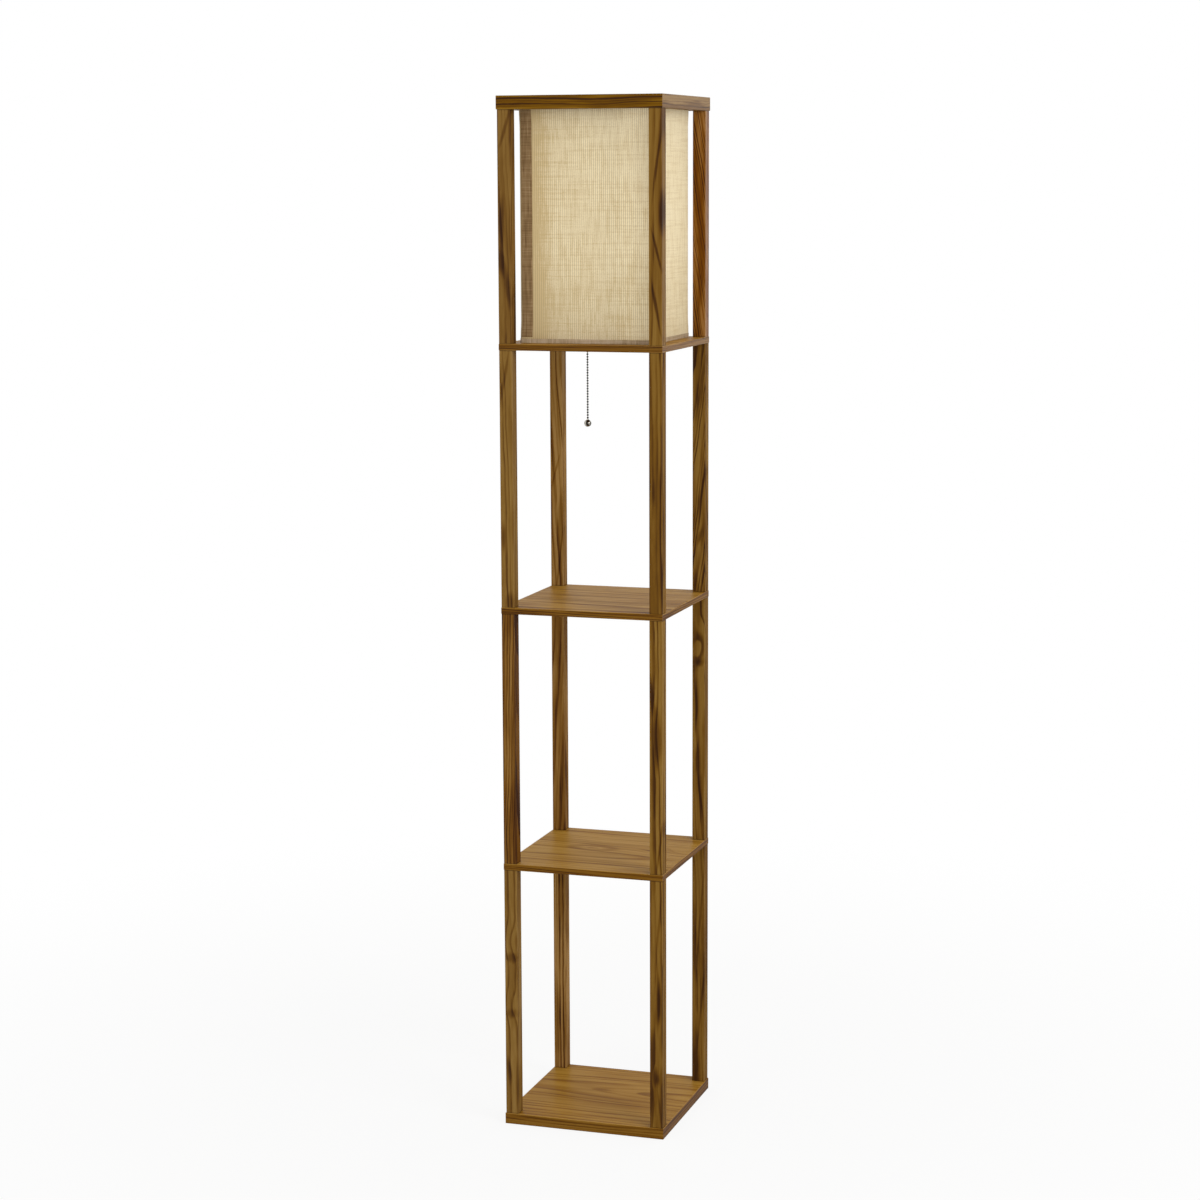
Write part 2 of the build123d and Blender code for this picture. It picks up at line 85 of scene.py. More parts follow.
def paint(red, green, blue):  # a paint chart's 0 to 255, as linear colour
    parts = [part / 255 for part in (red, green, blue)]
    return tuple(p / 12.92 if p <= 0.04045 else ((p + 0.055) / 1.055) ** 2.4 for p in parts) + (1.0,)


def put(tree, kind, sockets=None, **settings):
    made = tree.nodes.new("ShaderNode" + kind)
    for name, value in settings.items():
        setattr(made, name, value)
    for socket, value in (sockets or {}).items():
        if isinstance(value, bpy.types.NodeSocket):
            tree.links.new(value, made.inputs[socket])
        else:
            made.inputs[socket].default_value = value
    return made


def calc(tree, operation, *values, clamp=False):
    return put(tree, "Math", dict(enumerate(values)), operation=operation, use_clamp=clamp).outputs[0]


def reach(tree, operation, *values):  # vector arithmetic
    made = put(tree, "VectorMath", dict(enumerate(values)), operation=operation)
    return made.outputs["Value" if operation == "LENGTH" else "Vector"]


def split(tree, vector):
    return put(tree, "SeparateXYZ", {0: vector}).outputs


def join(tree, *values):
    return put(tree, "CombineXYZ", dict(enumerate(values))).outputs[0]


def ramp(tree, value, low, high, outLow=0.0, outHigh=1.0, smooth=True):
    sockets = {"Value": value, "From Min": low, "From Max": high, "To Min": outLow, "To Max": outHigh}
    kind = "SMOOTHSTEP" if smooth else "LINEAR"
    return put(tree, "MapRange", sockets, interpolation_type=kind).outputs[0]


def roughness(tree, value, low, high):  # over most of a noise's spread
    return ramp(tree, value, 0.3, 0.7, low, high, smooth=False)


def noise(tree, vector, scale=1.0, detail=2.0, rough=0.5, output=0):
    sockets = {"Vector": vector, "Scale": scale, "Detail": detail, "Roughness": rough}
    return put(tree, "TexNoise", sockets).outputs[output]


def strayNoise(tree, vector, detail=2.0, rough=0.5):  # a shift each way, from -0.5 to 0.5
    colour = noise(tree, vector, 1.0, detail, rough, "Color")
    return reach(tree, "SUBTRACT", colour, (0.5, 0.5, 0.5))


def noiseLine(tree, value, detail):  # noise along one number
    sockets = {"W": value, "Scale": 1.0, "Detail": detail, "Roughness": 0.5}
    return put(tree, "TexNoise", sockets, noise_dimensions="1D").outputs[0]


def stretch(tree, vector, scale, shift=(0, 0, 0)):
    return put(tree, "Mapping", {"Vector": vector, "Location": shift, "Scale": scale}).outputs[0]


def patches(tree, vector, sizes, shift=(0, 0, 0)):  # for noise in patches of these sizes
    return stretch(tree, vector, [1 / size for size in sizes], shift)


def objectPlace(tree):
    return put(tree, "TexCoord").outputs["Object"]


def clothPlace(tree):  # mm round the shade from its front left corner, and mm up
    return put(tree, "UVMap", uv_map="cloth").outputs[0]


def blend(tree, share, first, second, how="MIX"):
    made = put(tree, "Mix", {0: share, 6: first, 7: second}, data_type="RGBA", blend_type=how)
    return made.outputs[2]


def colours(tree, value, places, shades):
    made = put(tree, "ValToRGB", {0: value})
    band = made.color_ramp
    stops = list(zip(places, shades))
    band.elements[0].position, band.elements[0].color = stops[0]
    band.elements[1].position, band.elements[1].color = stops[-1]
    for place, shade in stops[1:-1]:
        band.elements.new(place).color = shade
    return made.outputs[0]


def blank(name):
    made = bpy.data.materials.new(name)
    made.use_nodes = True
    made.node_tree.nodes.clear()
    tree = made.node_tree
    shader = put(tree, "BsdfPrincipled")
    put(tree, "OutputMaterial", {"Surface": shader.outputs[0]})
    return made, tree, shader


def finishShader(tree, shader, colour, rough, height, finish, **plain):
    tree.links.new(colour, shader.inputs["Base Color"])
    tree.links.new(rough, shader.inputs["Roughness"])
    sockets = {"Strength": finish["lift"], "Distance": finish["depth"], "Height": height}
    tree.links.new(put(tree, "Bump", sockets).outputs[0], shader.inputs["Normal"])
    for name, value in plain.items():
        shader.inputs[name.replace("_", " ")].default_value = value


def wear(node, material):
    target = node if isinstance(node, bpy.types.Object) else frame["nodes"][node]
    target.data.materials.clear()
    target.data.materials.append(material)


# Studio: pale floor, a broad key light from the right, a softer one from the left, a small one behind.
studio = {
    "world": 0.56,
    "floorSize": 40.0,
    "floorColour": paint(247, 246, 244),
    "speck": (3.0, 3.0),  # scale and detail
    "speckShare": 0.06,
    "floorNear": 0.4,  # metres from the lamp, where the floor's shadow shows fully
    "floorFar": 2.0,
    "shadowShare": 0.12,
    "lights": {
        "key": {"place": (3.9, -2.3, 2.6), "size": (2.4, 2.4), "power": 92, "aim": (0, 0, 0.8)},
        "fill": {"place": (-1.2, -4.1, 1.6), "size": (2.0, 2.6), "power": 23, "aim": (0, 0, 0.8)},
        "strip": {"place": (1.3, 3.2, 1.6), "size": (1.3, 1.6), "power": 10, "aim": (0, 0, 1.2)},
    },
}


def seenDirectly(tree):  # 1 for what the lens, a reflection or a clear surface shows
    rays = put(tree, "LightPath").outputs
    straight = calc(tree, "MAXIMUM", rays["Is Camera Ray"], rays["Is Glossy Ray"])
    return calc(tree, "MAXIMUM", straight, rays["Is Transmission Ray"])


def makeStudio(room):
    world = bpy.data.worlds.new("room")
    bpy.context.scene.world = world
    world.use_nodes = True
    tree = world.node_tree
    tree.nodes.clear()
    strength = ramp(tree, seenDirectly(tree), 0.0, 1.0, room["world"], 1.0, smooth=False)
    sky = put(tree, "Background", {"Color": (1, 1, 1, 1), "Strength": strength})
    put(tree, "OutputWorld", {"Surface": sky.outputs[0]})
    for name, light in room["lights"].items():
        data = bpy.data.lights.new(name, "AREA")
        data.shape = "RECTANGLE"
        data.size, data.size_y = light["size"]
        data.energy = light["power"]
        lamp = bpy.data.objects.new(name, data)
        bpy.context.scene.collection.objects.link(lamp)
        away = Vector(light["place"]) - Vector(light["aim"])
        turned = away.to_track_quat("Z", "Y").to_matrix().to_4x4()
        lamp.matrix_world = Matrix.Translation(light["place"]) @ turned
        lamp.visible_camera = False
    makeFloor(room)


def makeFloor(room):
    bpy.ops.mesh.primitive_plane_add(size=room["floorSize"], location=(0, 0, 0))
    floor = bpy.context.object
    floor.name = "floor"
    made = bpy.data.materials.new("floor")
    made.use_nodes = True
    tree = made.node_tree
    tree.nodes.clear()
    place = objectPlace(tree)
    away = reach(tree, "LENGTH", place)
    far = ramp(tree, away, room["floorNear"], room["floorFar"], room["shadowShare"], 0.0)
    speck = calc(tree, "MULTIPLY", noise(tree, place, *room["speck"]), room["speckShare"])
    tint = blend(tree, speck, room["floorColour"], (1, 1, 1, 1))
    matt = put(tree, "BsdfDiffuse", {"Color": tint})
    white = put(tree, "Emission", {"Color": (1, 1, 1, 1), "Strength": 1.0})
    shown = put(tree, "MixShader", {0: far, 1: white.outputs[0], 2: matt.outputs[0]})
    final = put(tree, "MixShader", {0: seenDirectly(tree), 1: matt.outputs[0], 2: shown.outputs[0]})
    put(tree, "OutputMaterial", {"Surface": final.outputs[0]})
    floor.data.materials.append(made)
    floor.select_set(False)


makeStudio(studio)
print("studio ready")

# Wood. Lengths in mm from the middle of each board, and triples run along the grain, across and in.
walnut = {
    "shadePlaces": (0.0, 0.25, 0.5, 0.75, 1.0),
    "shades": (
        paint(60, 36, 18), paint(84, 54, 22), paint(112, 77, 26), paint(134, 100, 43), paint(160, 126, 70),
    ),
    "middle": 0.62,  # where a plain board lies on the shades
    "ringWidth": 4.4,
    "uneven": 1.4,  # how much the rings' widths vary, in rings
    "swayRate": 0.45,  # and how soon, for each ring
    "swaySeed": (3.1, 20),
    "lateGrows": (0.4, 0.88),  # where in a ring the dark late wood starts, and is full
    "lateEnds": (0.92, 1.0),
    "ringStep": 3.7,
    "ringSeed": (5.3, 9),
    "ringDepths": (0.36, 0.58, 0.3, 1.0),  # the palest ring's late wood has 0.3 of the darkest's
    "lateShare": 0.66,
    "lateDepth": 0.5,
    "strayPatch": (130, 40, 40),
    "strayDetail": (3.0, 0.45),  # detail and roughness
    "wander": (18.0, 8.4, 8.4),  # mm that the grain strays
    "frayPatch": (26, 4, 4),
    "frayShift": (7, 0, 0),
    "fray": (8.0, 1.6, 1.6),  # mm that a figure's edge strays
    "figureDepth": 30,
    "pushReach": (0.0, 1.5),  # in figure sizes, where its push is full, and ends
    "stainReach": (0.3, 1.25),
    "fadePatch": (90, 9, 9),
    "fadeShift": (3, 0, 0),
    "fade": (0.34, 0.56, 0.4, 1.0),  # the late wood fades to 0.4 in places
    "broadPatch": (150, 13, 13),  # paler and darker wood
    "broadDetail": 3.0,
    "broad": (0.34, 0.62),
    "broadShare": 0.3,
    "fibreScale": (0.03, 1.3, 1.3),
    "fibreDetail": (4.0, 0.65),
    "fibreShare": 0.4,
    "seedSteps": (137.0, 53.0, 71.0),
    "broadSeed": (5, 3, 0),
    "bandLines": 2.4,
    "edgeFacing": 0.6,
    "topFacing": 0.5,
    "rightFacing": (0.4, 0.9),
    # painted shade: where it starts and where it is full, mm across the post
    "darkSideFrom": (5.0, 10.2),
    "topCalm": (0.55, 0.25),  # painted light on the tops: they are drawn towards this tone, by this share
    # painted light: multiplies the top faces' colour
    "topLight": (1.93, 2.1, 2.5, 1.0),
    # worn edges, lightened both as wear and as a painted highlight
    "edgeWearAndHighlightColour": paint(176, 146, 100),
    "edgeWearAndHighlightWidth": 0.9,
    "edgeWearAndHighlightShare": 0.3,
    # a painted shadow line where a post meets a plate
    "jointShadowColour": paint(40, 22, 6),
    "jointShadowWidth": 1.5,
    "jointShadowShare": 0.75,
    "rough": (0.46, 0.34),  # of dark and of pale wood
    "fibreRough": 0.1,
    "lift": 0.2,
    "depth": 0.0003,
}
plainBoard = {
    "lean": (0, 0),  # how far the heart of the log strays from the board's own line
    "seed": 0.0,
    "tone": 0.0,
    "contrast": 1.0,
    "width": 1.0,
    "hue": 0.5,
    "colour": 1.0,
    "figures": (),  # knots and streaks: (along, across, length, breadth, dark, slant, push on the rings)
    "side": -1,  # which way the face with the figures looks
    "paintedShadeSide": 0.0,  # painted shade: darkens the front face towards its right edge, and the right face beside it
    "rightFaceShade": 0.0,  # painted shade: darkens the right face, and where it is negative it lightens it as painted light
    "sideLines": 1.0,  # how much of the late wood shows on the right face
    "topPaintedLight": 0.0,  # painted light: lightens the top faces, as do walnut's topCalm and topLight
    "banded": False,
    "joint": False,
    "gloss": 0.026,
}


def ringLines(tree, rings, width, seed):
    # dark late wood, slow to start and crisp to end, each ring to its own depth
    count = calc(tree, "DIVIDE", rings, width)
    step, start = walnut["swaySeed"]
    sway = noiseLine(tree, calc(tree, "MULTIPLY_ADD", count, walnut["swayRate"], seed * step + start), 1.0)
    count = calc(tree, "MULTIPLY_ADD", sway, walnut["uneven"], count)
    part = calc(tree, "FRACT", count)
    late = ramp(tree, part, *walnut["lateGrows"])
    late = calc(tree, "MULTIPLY", late, ramp(tree, part, *walnut["lateEnds"], 1.0, 0.0))
    step, start = walnut["ringSeed"]
    ring = calc(tree, "MULTIPLY_ADD", calc(tree, "FLOOR", count), walnut["ringStep"], seed * step + start)
    return calc(tree, "MULTIPLY", late, ramp(tree, noiseLine(tree, ring, 0.0), *walnut["ringDepths"]))


def bandedEdges(tree, grain, axes, faces, depth):  # edge banding, its grain along each edge
    lines = calc(tree, "MULTIPLY", axes["z"], walnut["bandLines"])
    for face, letter in ((0, "y"), (1, "x")):
        band = join(tree, axes[letter], lines, depth)
        onEdge = calc(tree, "GREATER_THAN", calc(tree, "ABSOLUTE", faces[face]), walnut["edgeFacing"])
        grain = put(tree, "Mix", {0: onEdge, 4: grain, 5: band}, data_type="VECTOR").outputs[1]
    return grain


def boardRings(tree, board, grain, shifted, depth):
    # gives the strayed grain, the distance from the heart, and how dark the figures are
    stray = strayNoise(tree, patches(tree, shifted, walnut["strayPatch"]), *walnut["strayDetail"])
    strayed = reach(tree, "MULTIPLY_ADD", stray, walnut["wander"], grain)
    heart = [-offset for offset in board["pith"]]
    fromHeart = stretch(tree, strayed, (0, 1, 1), (0, *heart))
    along = split(tree, grain)[0]
    slope = join(tree, 0.0, *[calc(tree, "MULTIPLY", along, lean) for lean in board["lean"]])
    rings = reach(tree, "LENGTH", reach(tree, "ADD", fromHeart, slope))
    fray = strayNoise(tree, patches(tree, shifted, walnut["frayPatch"], walnut["frayShift"]))
    frayed = reach(tree, "MULTIPLY_ADD", fray, walnut["fray"], strayed)
    stain = 0.0
    for spotAlong, spotAcross, length, breadth, dark, slant, push in board["figures"]:
        sockets = {
            "Vector": frayed,
            "Location": (spotAlong, spotAcross, depth),
            "Rotation": (0, 0, slant),
            "Scale": (length, breadth, walnut["figureDepth"]),
        }
        away = reach(tree, "LENGTH", put(tree, "Mapping", sockets, vector_type="TEXTURE").outputs[0])
        if push:
            near = ramp(tree, away, *walnut["pushReach"], 1.0, 0.0)
            rings = calc(tree, "MULTIPLY_ADD", near, push, rings)
        if dark:
            near = ramp(tree, away, *walnut["stainReach"], 1.0, 0.0)
            stain = calc(tree, "MULTIPLY_ADD", near, dark, stain)
    return strayed, rings, stain


def boardColour(tree, board, value, onTop):
    tinted = colours(tree, value, walnut["shadePlaces"], walnut["shades"])
    if (board["hue"], board["colour"]) != (plainBoard["hue"], plainBoard["colour"]):
        sockets = {"Hue": board["hue"], "Saturation": board["colour"], "Color": tinted}
        tinted = put(tree, "HueSaturation", sockets).outputs[0]
    # painted light: the top faces are made lighter by topLight
    if onTop:
        lighter = blend(tree, 1.0, tinted, walnut["topLight"], "MULTIPLY")
        tinted = blend(tree, onTop, tinted, lighter)
    return tinted


def edgeWearHighlightAndJointShadow(tree, board, tinted, gaps, broad, lengthwise):  # worn edges with a painted highlight along them, and a painted shadow line where posts meet
    nearer = calc(tree, "MINIMUM", gaps[0], gaps[1])
    further = calc(tree, "MAXIMUM", gaps[0], gaps[1])
    edge = calc(tree, "MAXIMUM", nearer, calc(tree, "MINIMUM", further, gaps[2]))  # the second least gap
    # the edges are lightened as wear and as a painted highlight
    wearAndHighlight = calc(tree, "MULTIPLY", ramp(tree, edge, 0.0, walnut["edgeWearAndHighlightWidth"], 1.0, 0.0), broad)
    tinted = blend(tree, calc(tree, "MULTIPLY", wearAndHighlight, walnut["edgeWearAndHighlightShare"]), tinted, walnut["edgeWearAndHighlightColour"])
    # painted shadow at each end of a post, where it meets a plate
    if board["joint"]:
        seam = ramp(tree, gaps[lengthwise], 0.0, walnut["jointShadowWidth"], walnut["jointShadowShare"], 0.0)
        tinted = blend(tree, seam, tinted, walnut["jointShadowColour"])
    return tinted


def walnutBoard(node, run, **own):
    # "run" gives the letters of the axes along the grain, across the face that shows, and in.
    # "pith" is where the heart of the log lay, across and in.
    board = {**plainBoard, **own}
    seed, contrast = board["seed"], board["contrast"]
    lengthwise, inwards = "xyz".index(run[0]), "xyz".index(run[2])
    low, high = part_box(node)
    centre, half = (low + high) / 2 / mm, (high - low) / 2 / mm
    material, tree, shader = blank("walnut_" + node)
    places = put(tree, "TexCoord").outputs
    local = stretch(tree, places["Object"], (1 / mm, 1 / mm, 1 / mm), -centre)
    axes = dict(zip("xyz", split(tree, local)))
    faces = split(tree, places["Normal"])
    grain = join(tree, *[axes[letter] for letter in run])
    if board["banded"]:
        grain = bandedEdges(tree, grain, axes, faces, board["pith"][1])
    shifted = reach(tree, "ADD", grain, [seed * step for step in walnut["seedSteps"]])
    strayed, rings, stain = boardRings(tree, board, grain, shifted, board["side"] * half[inwards])
    late = ringLines(tree, rings, walnut["ringWidth"] * board["width"], seed)
    fade = noise(tree, patches(tree, shifted, walnut["fadePatch"], walnut["fadeShift"]))
    late = calc(tree, "MULTIPLY", late, ramp(tree, fade, *walnut["fade"]))
    if board["sideLines"] < 1:
        shown = ramp(tree, faces[0], *walnut["rightFacing"], 1.0, board["sideLines"])
        late = calc(tree, "MULTIPLY", late, shown)
    fibre = noise(tree, stretch(tree, shifted, walnut["fibreScale"]), 1.0, *walnut["fibreDetail"])
    broadShift = [seed * step for step in walnut["broadSeed"]]
    patch = patches(tree, strayed, walnut["broadPatch"], broadShift)
    broad = ramp(tree, noise(tree, patch, 1.0, walnut["broadDetail"]), *walnut["broad"])
    share = walnut["broadShare"] * contrast
    value = calc(tree, "MULTIPLY_ADD", broad, share, walnut["middle"] - share / 2 + board["tone"])
    value = calc(tree, "MULTIPLY_ADD", late, -walnut["lateShare"] * contrast, value)
    value = calc(tree, "MULTIPLY_ADD", calc(tree, "SUBTRACT", fibre, 0.5), walnut["fibreShare"], value)
    value = calc(tree, "SUBTRACT", value, stain)
    # painted shade on the front face's right edge and on the right face
    if board["paintedShadeSide"]:
        drop = ramp(tree, axes["x"], *walnut["darkSideFrom"], 0.0, board["paintedShadeSide"])
        value = calc(tree, "SUBTRACT", value, drop)
    # painted shade on the right face, or painted light where the value is negative
    if board["rightFaceShade"]:
        drop = ramp(tree, faces[0], *walnut["rightFacing"], 0.0, board["rightFaceShade"])
        value = calc(tree, "SUBTRACT", value, drop)
    onTop = None
    # painted light: the top faces are drawn lighter and calmer
    if board["topPaintedLight"]:
        onTop = calc(tree, "GREATER_THAN", faces[2], walnut["topFacing"])
        level, share = walnut["topCalm"]
        calm = calc(tree, "MULTIPLY_ADD", calc(tree, "SUBTRACT", level, value), share, board["topPaintedLight"])
        value = calc(tree, "MULTIPLY_ADD", onTop, calm, value)
    value = calc(tree, "ADD", value, 0.0, clamp=True)
    tinted = boardColour(tree, board, value, onTop)
    gaps = split(tree, reach(tree, "SUBTRACT", half, reach(tree, "ABSOLUTE", local)))
    tinted = edgeWearHighlightAndJointShadow(tree, board, tinted, gaps, broad, lengthwise)
    rough = ramp(tree, value, 0.0, 1.0, *walnut["rough"], smooth=False)
    rough = calc(tree, "MULTIPLY_ADD", fibre, walnut["fibreRough"], rough)
    height = calc(tree, "MULTIPLY_ADD", late, -walnut["lateDepth"], fibre)
    finishShader(tree, shader, tinted, rough, height, walnut, Specular_IOR_Level=board["gloss"])
    wear(node, material)


plates = {
    "base_plate": {
        "pith": (22, -22), "lean": (0.0, -0.1), "seed": 1.0, "tone": 0.03, "topPaintedLight": 0.03, "gloss": 0.042,
        "width": 2.6, "contrast": 0.62, "rightFaceShade": 0.24,
        "figures": [
            (-18, 22, 17, 5, 0.2, 0.0, 0), (-92, -98, 36, 8, 0.18, 0.04, 0),
            (10, -40, 90, 26, 0.08, 0.0, 0), (26, 31, 42, 3, -0.16, 0.16, 0),
            (24, 13, 42, 3, -0.14, -0.1, 0),
        ],
    },
    "lower_shelf": {
        "pith": (-30, -40), "lean": (0.06, 0.03), "seed": 2.0, "tone": -0.1, "topPaintedLight": 0.17,
        "gloss": 0.034, "width": 2.1, "contrast": 0.7, "rightFaceShade": 0.1,
        "figures": [
            (-27, 9, 42, 18, 0.9, 0.0, 0), (-27, 9, 34, 14, -1.0, 0.0, 0), (-27, 9, 13, 5, 0.3, 0.0, 0),
            (40, 24, 56, 4, -0.14, -0.06, 0), (150, 12, 80, 30, 0.0, 0.0, 30),
        ],
    },
    "middle_shelf": {
        "pith": (-90, -50), "lean": (0.05, 0.02), "seed": 3.0, "tone": -0.13, "topPaintedLight": 0.15,
        "gloss": 0.04, "width": 1.7,
    },
    "lamp_deck": {
        "pith": (70, -50), "lean": (0.06, 0.03), "seed": 4.0, "tone": -0.09, "topPaintedLight": 0.09,
        "gloss": 0.055, "width": 1.7, "rightFaceShade": -0.1,
    },
}
for node, board in plates.items():
    walnutBoard(node, "xyz", side=1, banded=True, hue=0.495, colour=1.04, **board)

posts = {
    "shade_post_front_left": {
        "pith": (-34, 20), "lean": (0.05, 0.02), "seed": 10.3, "width": 1.3, "tone": 0.02, "contrast": 0.65,
        "colour": 0.97,
        "figures": [
            (145, 1, 34, 3.2, 0.32, 0.28, 0), (4, -4, 44, 5, 0.32, 0.06, 0),
            (-51, -7, 22, 7, 0.36, -0.15, 0), (-90, 4, 36, 5.5, 0.36, -0.1, 0),
        ],
    },
    "shade_post_front_right": {
        "pith": (-40, 34), "lean": (0.01, 0.02), "seed": 11.7, "width": 1.6, "tone": 0.04, "contrast": 0.55,
        "figures": [
            (22, 12, 38, 8, 0.6, 0.0, 0), (20, 14, 28, 4.5, -0.5, 0.0, 0),
            (-31, 1, 34, 2.3, 0.46, -0.26, 0), (-118, 1.5, 50, 2.5, 0.48, -0.18, 0),
            (88, 1, 54, 2.2, 0.4, 0.125, 0), (150, 8, 46, 4, 0.3, 0.08, 0),
        ],
    },
    "shade_post_back_left": {"pith": (24, 14), "lean": (0.04, 0.02), "seed": 12.1, "tone": 0.03},
    "shade_post_back_right": {
        "pith": (80, 10), "lean": (0.17, 0.0), "seed": 13.4, "width": 0.9, "hue": 0.482, "colour": 1.06,
        "tone": 0.12, "contrast": 1.75, "sideLines": 0.15, "rightFaceShade": 0.18, "gloss": 0.062,
    },
    "upper_post_front_left": {
        "pith": (-46, 26), "lean": (0.04, 0.02), "seed": 14.2, "width": 1.5, "tone": 0.08, "contrast": 0.65,
        "colour": 0.97,
        "figures": [
            (157, -2, 46, 2.6, 0.3, 0.19, 0), (-86, -7, 24, 4.4, 0.34, 0.0, 0),
            (-141, -2.5, 46, 2.2, 0.32, -0.05, 0), (-187, 2, 16, 8, 0.32, 0.0, 0),
        ],
    },
    "upper_post_front_right": {
        "pith": (-60, 30), "lean": (0.01, 0.01), "seed": 15.9, "width": 1.8, "tone": -0.04, "contrast": 0.8,
        "figures": [
            (60, -5, 110, 2.4, 0.3, -0.02, 0), (-10, -2, 24, 2.8, 0.22, 0.0, 0),
        ],
    },
    "upper_post_back_left": {
        "pith": (40, 24), "lean": (0.05, 0.02), "seed": 16.4, "tone": 0.22, "width": 1.6, "hue": 0.494,
        "figures": [
            (90, 3.5, 90, 2.2, 0.3, -0.03, 0), (-12, -3, 32, 2.0, 0.26, 0.26, 0),
            (-150, 5, 52, 1.8, 0.34, 0.12, 0),
        ],
    },
    "upper_post_back_right": {
        "pith": (-30, 22), "lean": (-0.1, 0.03), "seed": 17.8, "tone": 0.0,
        "figures": [
            (120, 2, 60, 2.6, 0.3, 0.15, 0), (-40, 4, 60, 2.2, 0.28, 0.2, 0),
            (-112, 0, 20, 4, 0.24, 0.24, 2), (-180, -5, 20, 4, 0.26, 0.0, 0),
        ],
    },
    "middle_post_front_left": {
        "pith": (-50, 6), "lean": (-0.02, 0.0), "seed": 18.5, "width": 0.9, "hue": 0.492, "contrast": 1.1,
        "tone": 0.05, "paintedShadeSide": 0.32,
        "figures": [
            (-60, 4, 90, 2, 0.2, -0.02, 0), (110, -2, 70, 1.8, 0.2, 0.03, 0),
        ],
    },
    "middle_post_front_right": {
        "pith": (-50, 30), "lean": (0.03, 0.02), "seed": 19.3, "width": 1.7, "tone": 0.05, "contrast": 0.8,
        "figures": [
            (84, -6, 36, 4.2, 0.4, -0.14, 0), (16, 1.5, 48, 8.5, 0.42, -0.02, 3),
            (-150, 7, 50, 2.2, 0.28, 0.12, 0),
        ],
    },
    "middle_post_back_left": {
        "pith": (-30, 16), "lean": (-0.04, 0.02), "seed": 20.1, "hue": 0.492, "width": 1.4, "tone": 0.13,
        "figures": [
            (70, 3, 90, 1.9, 0.34, 0.05, 0), (-30, -3.5, 60, 2, 0.3, 0.03, 0),
            (-130, 4, 60, 1.8, 0.26, 0.0, 0),
        ],
    },
    "middle_post_back_right": {
        "pith": (34, 26), "lean": (0.03, 0.03), "seed": 21.6, "width": 1.6, "tone": 0.0, "contrast": 0.8,
        "figures": [
            (122, 5, 36, 13, 0.0, 0.0, 12), (94, 2, 7, 10, 0.26, 0.0, 0), (18, -4, 44, 2.8, 0.36, -0.02, 0),
            (-64, -1, 28, 3, 0.32, 0.0, 2), (-130, 5, 50, 2, 0.28, -0.12, 0),
        ],
    },
    "lower_post_front_left": {
        "pith": (-44, 34), "lean": (0.02, 0.02), "seed": 22.2, "width": 1.7, "tone": 0.1, "contrast": 0.7,
        "colour": 0.97,
        "figures": [
            (84, 0, 30, 13, -0.06, 0.0, 7), (57, 0, 9, 11, 0.3, 0.0, 0), (-22, 0, 28, 13, 0.0, 0.0, 5),
            (-34, 1, 9, 10, 0.28, 0.0, 0), (-130, -6, 24, 4.5, 0.32, -0.08, 0),
            (-150, 7, 40, 3, 0.26, 0.0, 0),
        ],
    },
    "lower_post_front_right": {
        "pith": (-20, 20), "lean": (0.04, 0.03), "seed": 23.7, "width": 1.3, "tone": -0.03,
        "figures": [
            (6, 2, 46, 4.2, 0.34, 0.0, 4), (-118, -1, 17, 6, 0.3, 0.0, 3),
            (-170, 6, 34, 2.4, 0.26, -0.12, 0), (130, 4, 60, 2, 0.2, 0.08, 0),
        ],
    },
    "lower_post_back_left": {
        "pith": (-70, 2), "lean": (0.005, 0.0), "seed": 24.9, "width": 1.15, "contrast": 1.4, "tone": 0.22,
        "hue": 0.492,
    },
    "lower_post_back_right": {
        "pith": (-20, 22), "lean": (0.05, 0.02), "seed": 25.5, "tone": -0.09, "contrast": 1.1,
        "figures": [
            (60, 2, 110, 2.4, 0.26, 0.08, 0), (-60, 5, 70, 2.2, 0.26, 0.08, 0),
        ],
    },
}
postGloss = {"shade": 0.02, "upper": 0.007, "middle": 0.007, "lower": 0.007}
for node, board in posts.items():
    board.setdefault("gloss", postGloss[node.split("_")[0]])
    walnutBoard(node, "zxy", joint=True, **board)

rails = {
    "top_rail_front": {
        "run": "xzy", "pith": (-26, 22), "seed": 31.0, "tone": -0.06, "contrast": 1.2, "colour": 1.08,
    },
    "top_rail_back": {"run": "xzy", "pith": (25, 14), "seed": 32.0},
    "top_rail_left": {"run": "yzx", "pith": (28, 12), "seed": 33.0},
    "top_rail_right": {"run": "yzx", "pith": (30, -16), "seed": 34.0, "side": 1},
}
for node, board in rails.items():
    walnutBoard(node, lean=(0.02, 0.02), width=0.7, gloss=0.055, **board)
print("wood finished")

# Shade. The laminate is drawn in a little between its wires, and its faces bow inwards. Lengths in mm.
shade = {
    "skin": 0.6,
    "liner": 0.4,
    "linerGap": 0.02,
    "tapeGap": 0.01,
    "corner": 3.0,
    "linerCorner": 2.4,
    "tapeCorner": 3.5,
    "cornerSteps": 4,
    "across": 28,
    "rows": 44,
    "tapeAcross": 40,
    "tapeRows": 3,
    "lapAcross": 4,
    "lapEdge": 5,  # a longer edge of the lap runs across it
    "drawnIn": 0.7,  # at the corners
    "bow": 1.0,  # at the middle of each face, besides
    "ripple": 0.18,
    "rippleScale": 0.012,
    "ripplePlace": (3.0, 7.0, 1.0),
    "hold": 9.0,  # the wires and tapes hold this much of each end straight
    "easeOver": 26.0,
    "edge": 0.14,
    "edgeSteps": 2,
    "hemShown": 6.6,
    "smoothBelow": 40,  # degrees
}
shadeLow, shadeHigh = (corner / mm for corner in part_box("shade_fabric"))
shadeHalf = shadeHigh.x


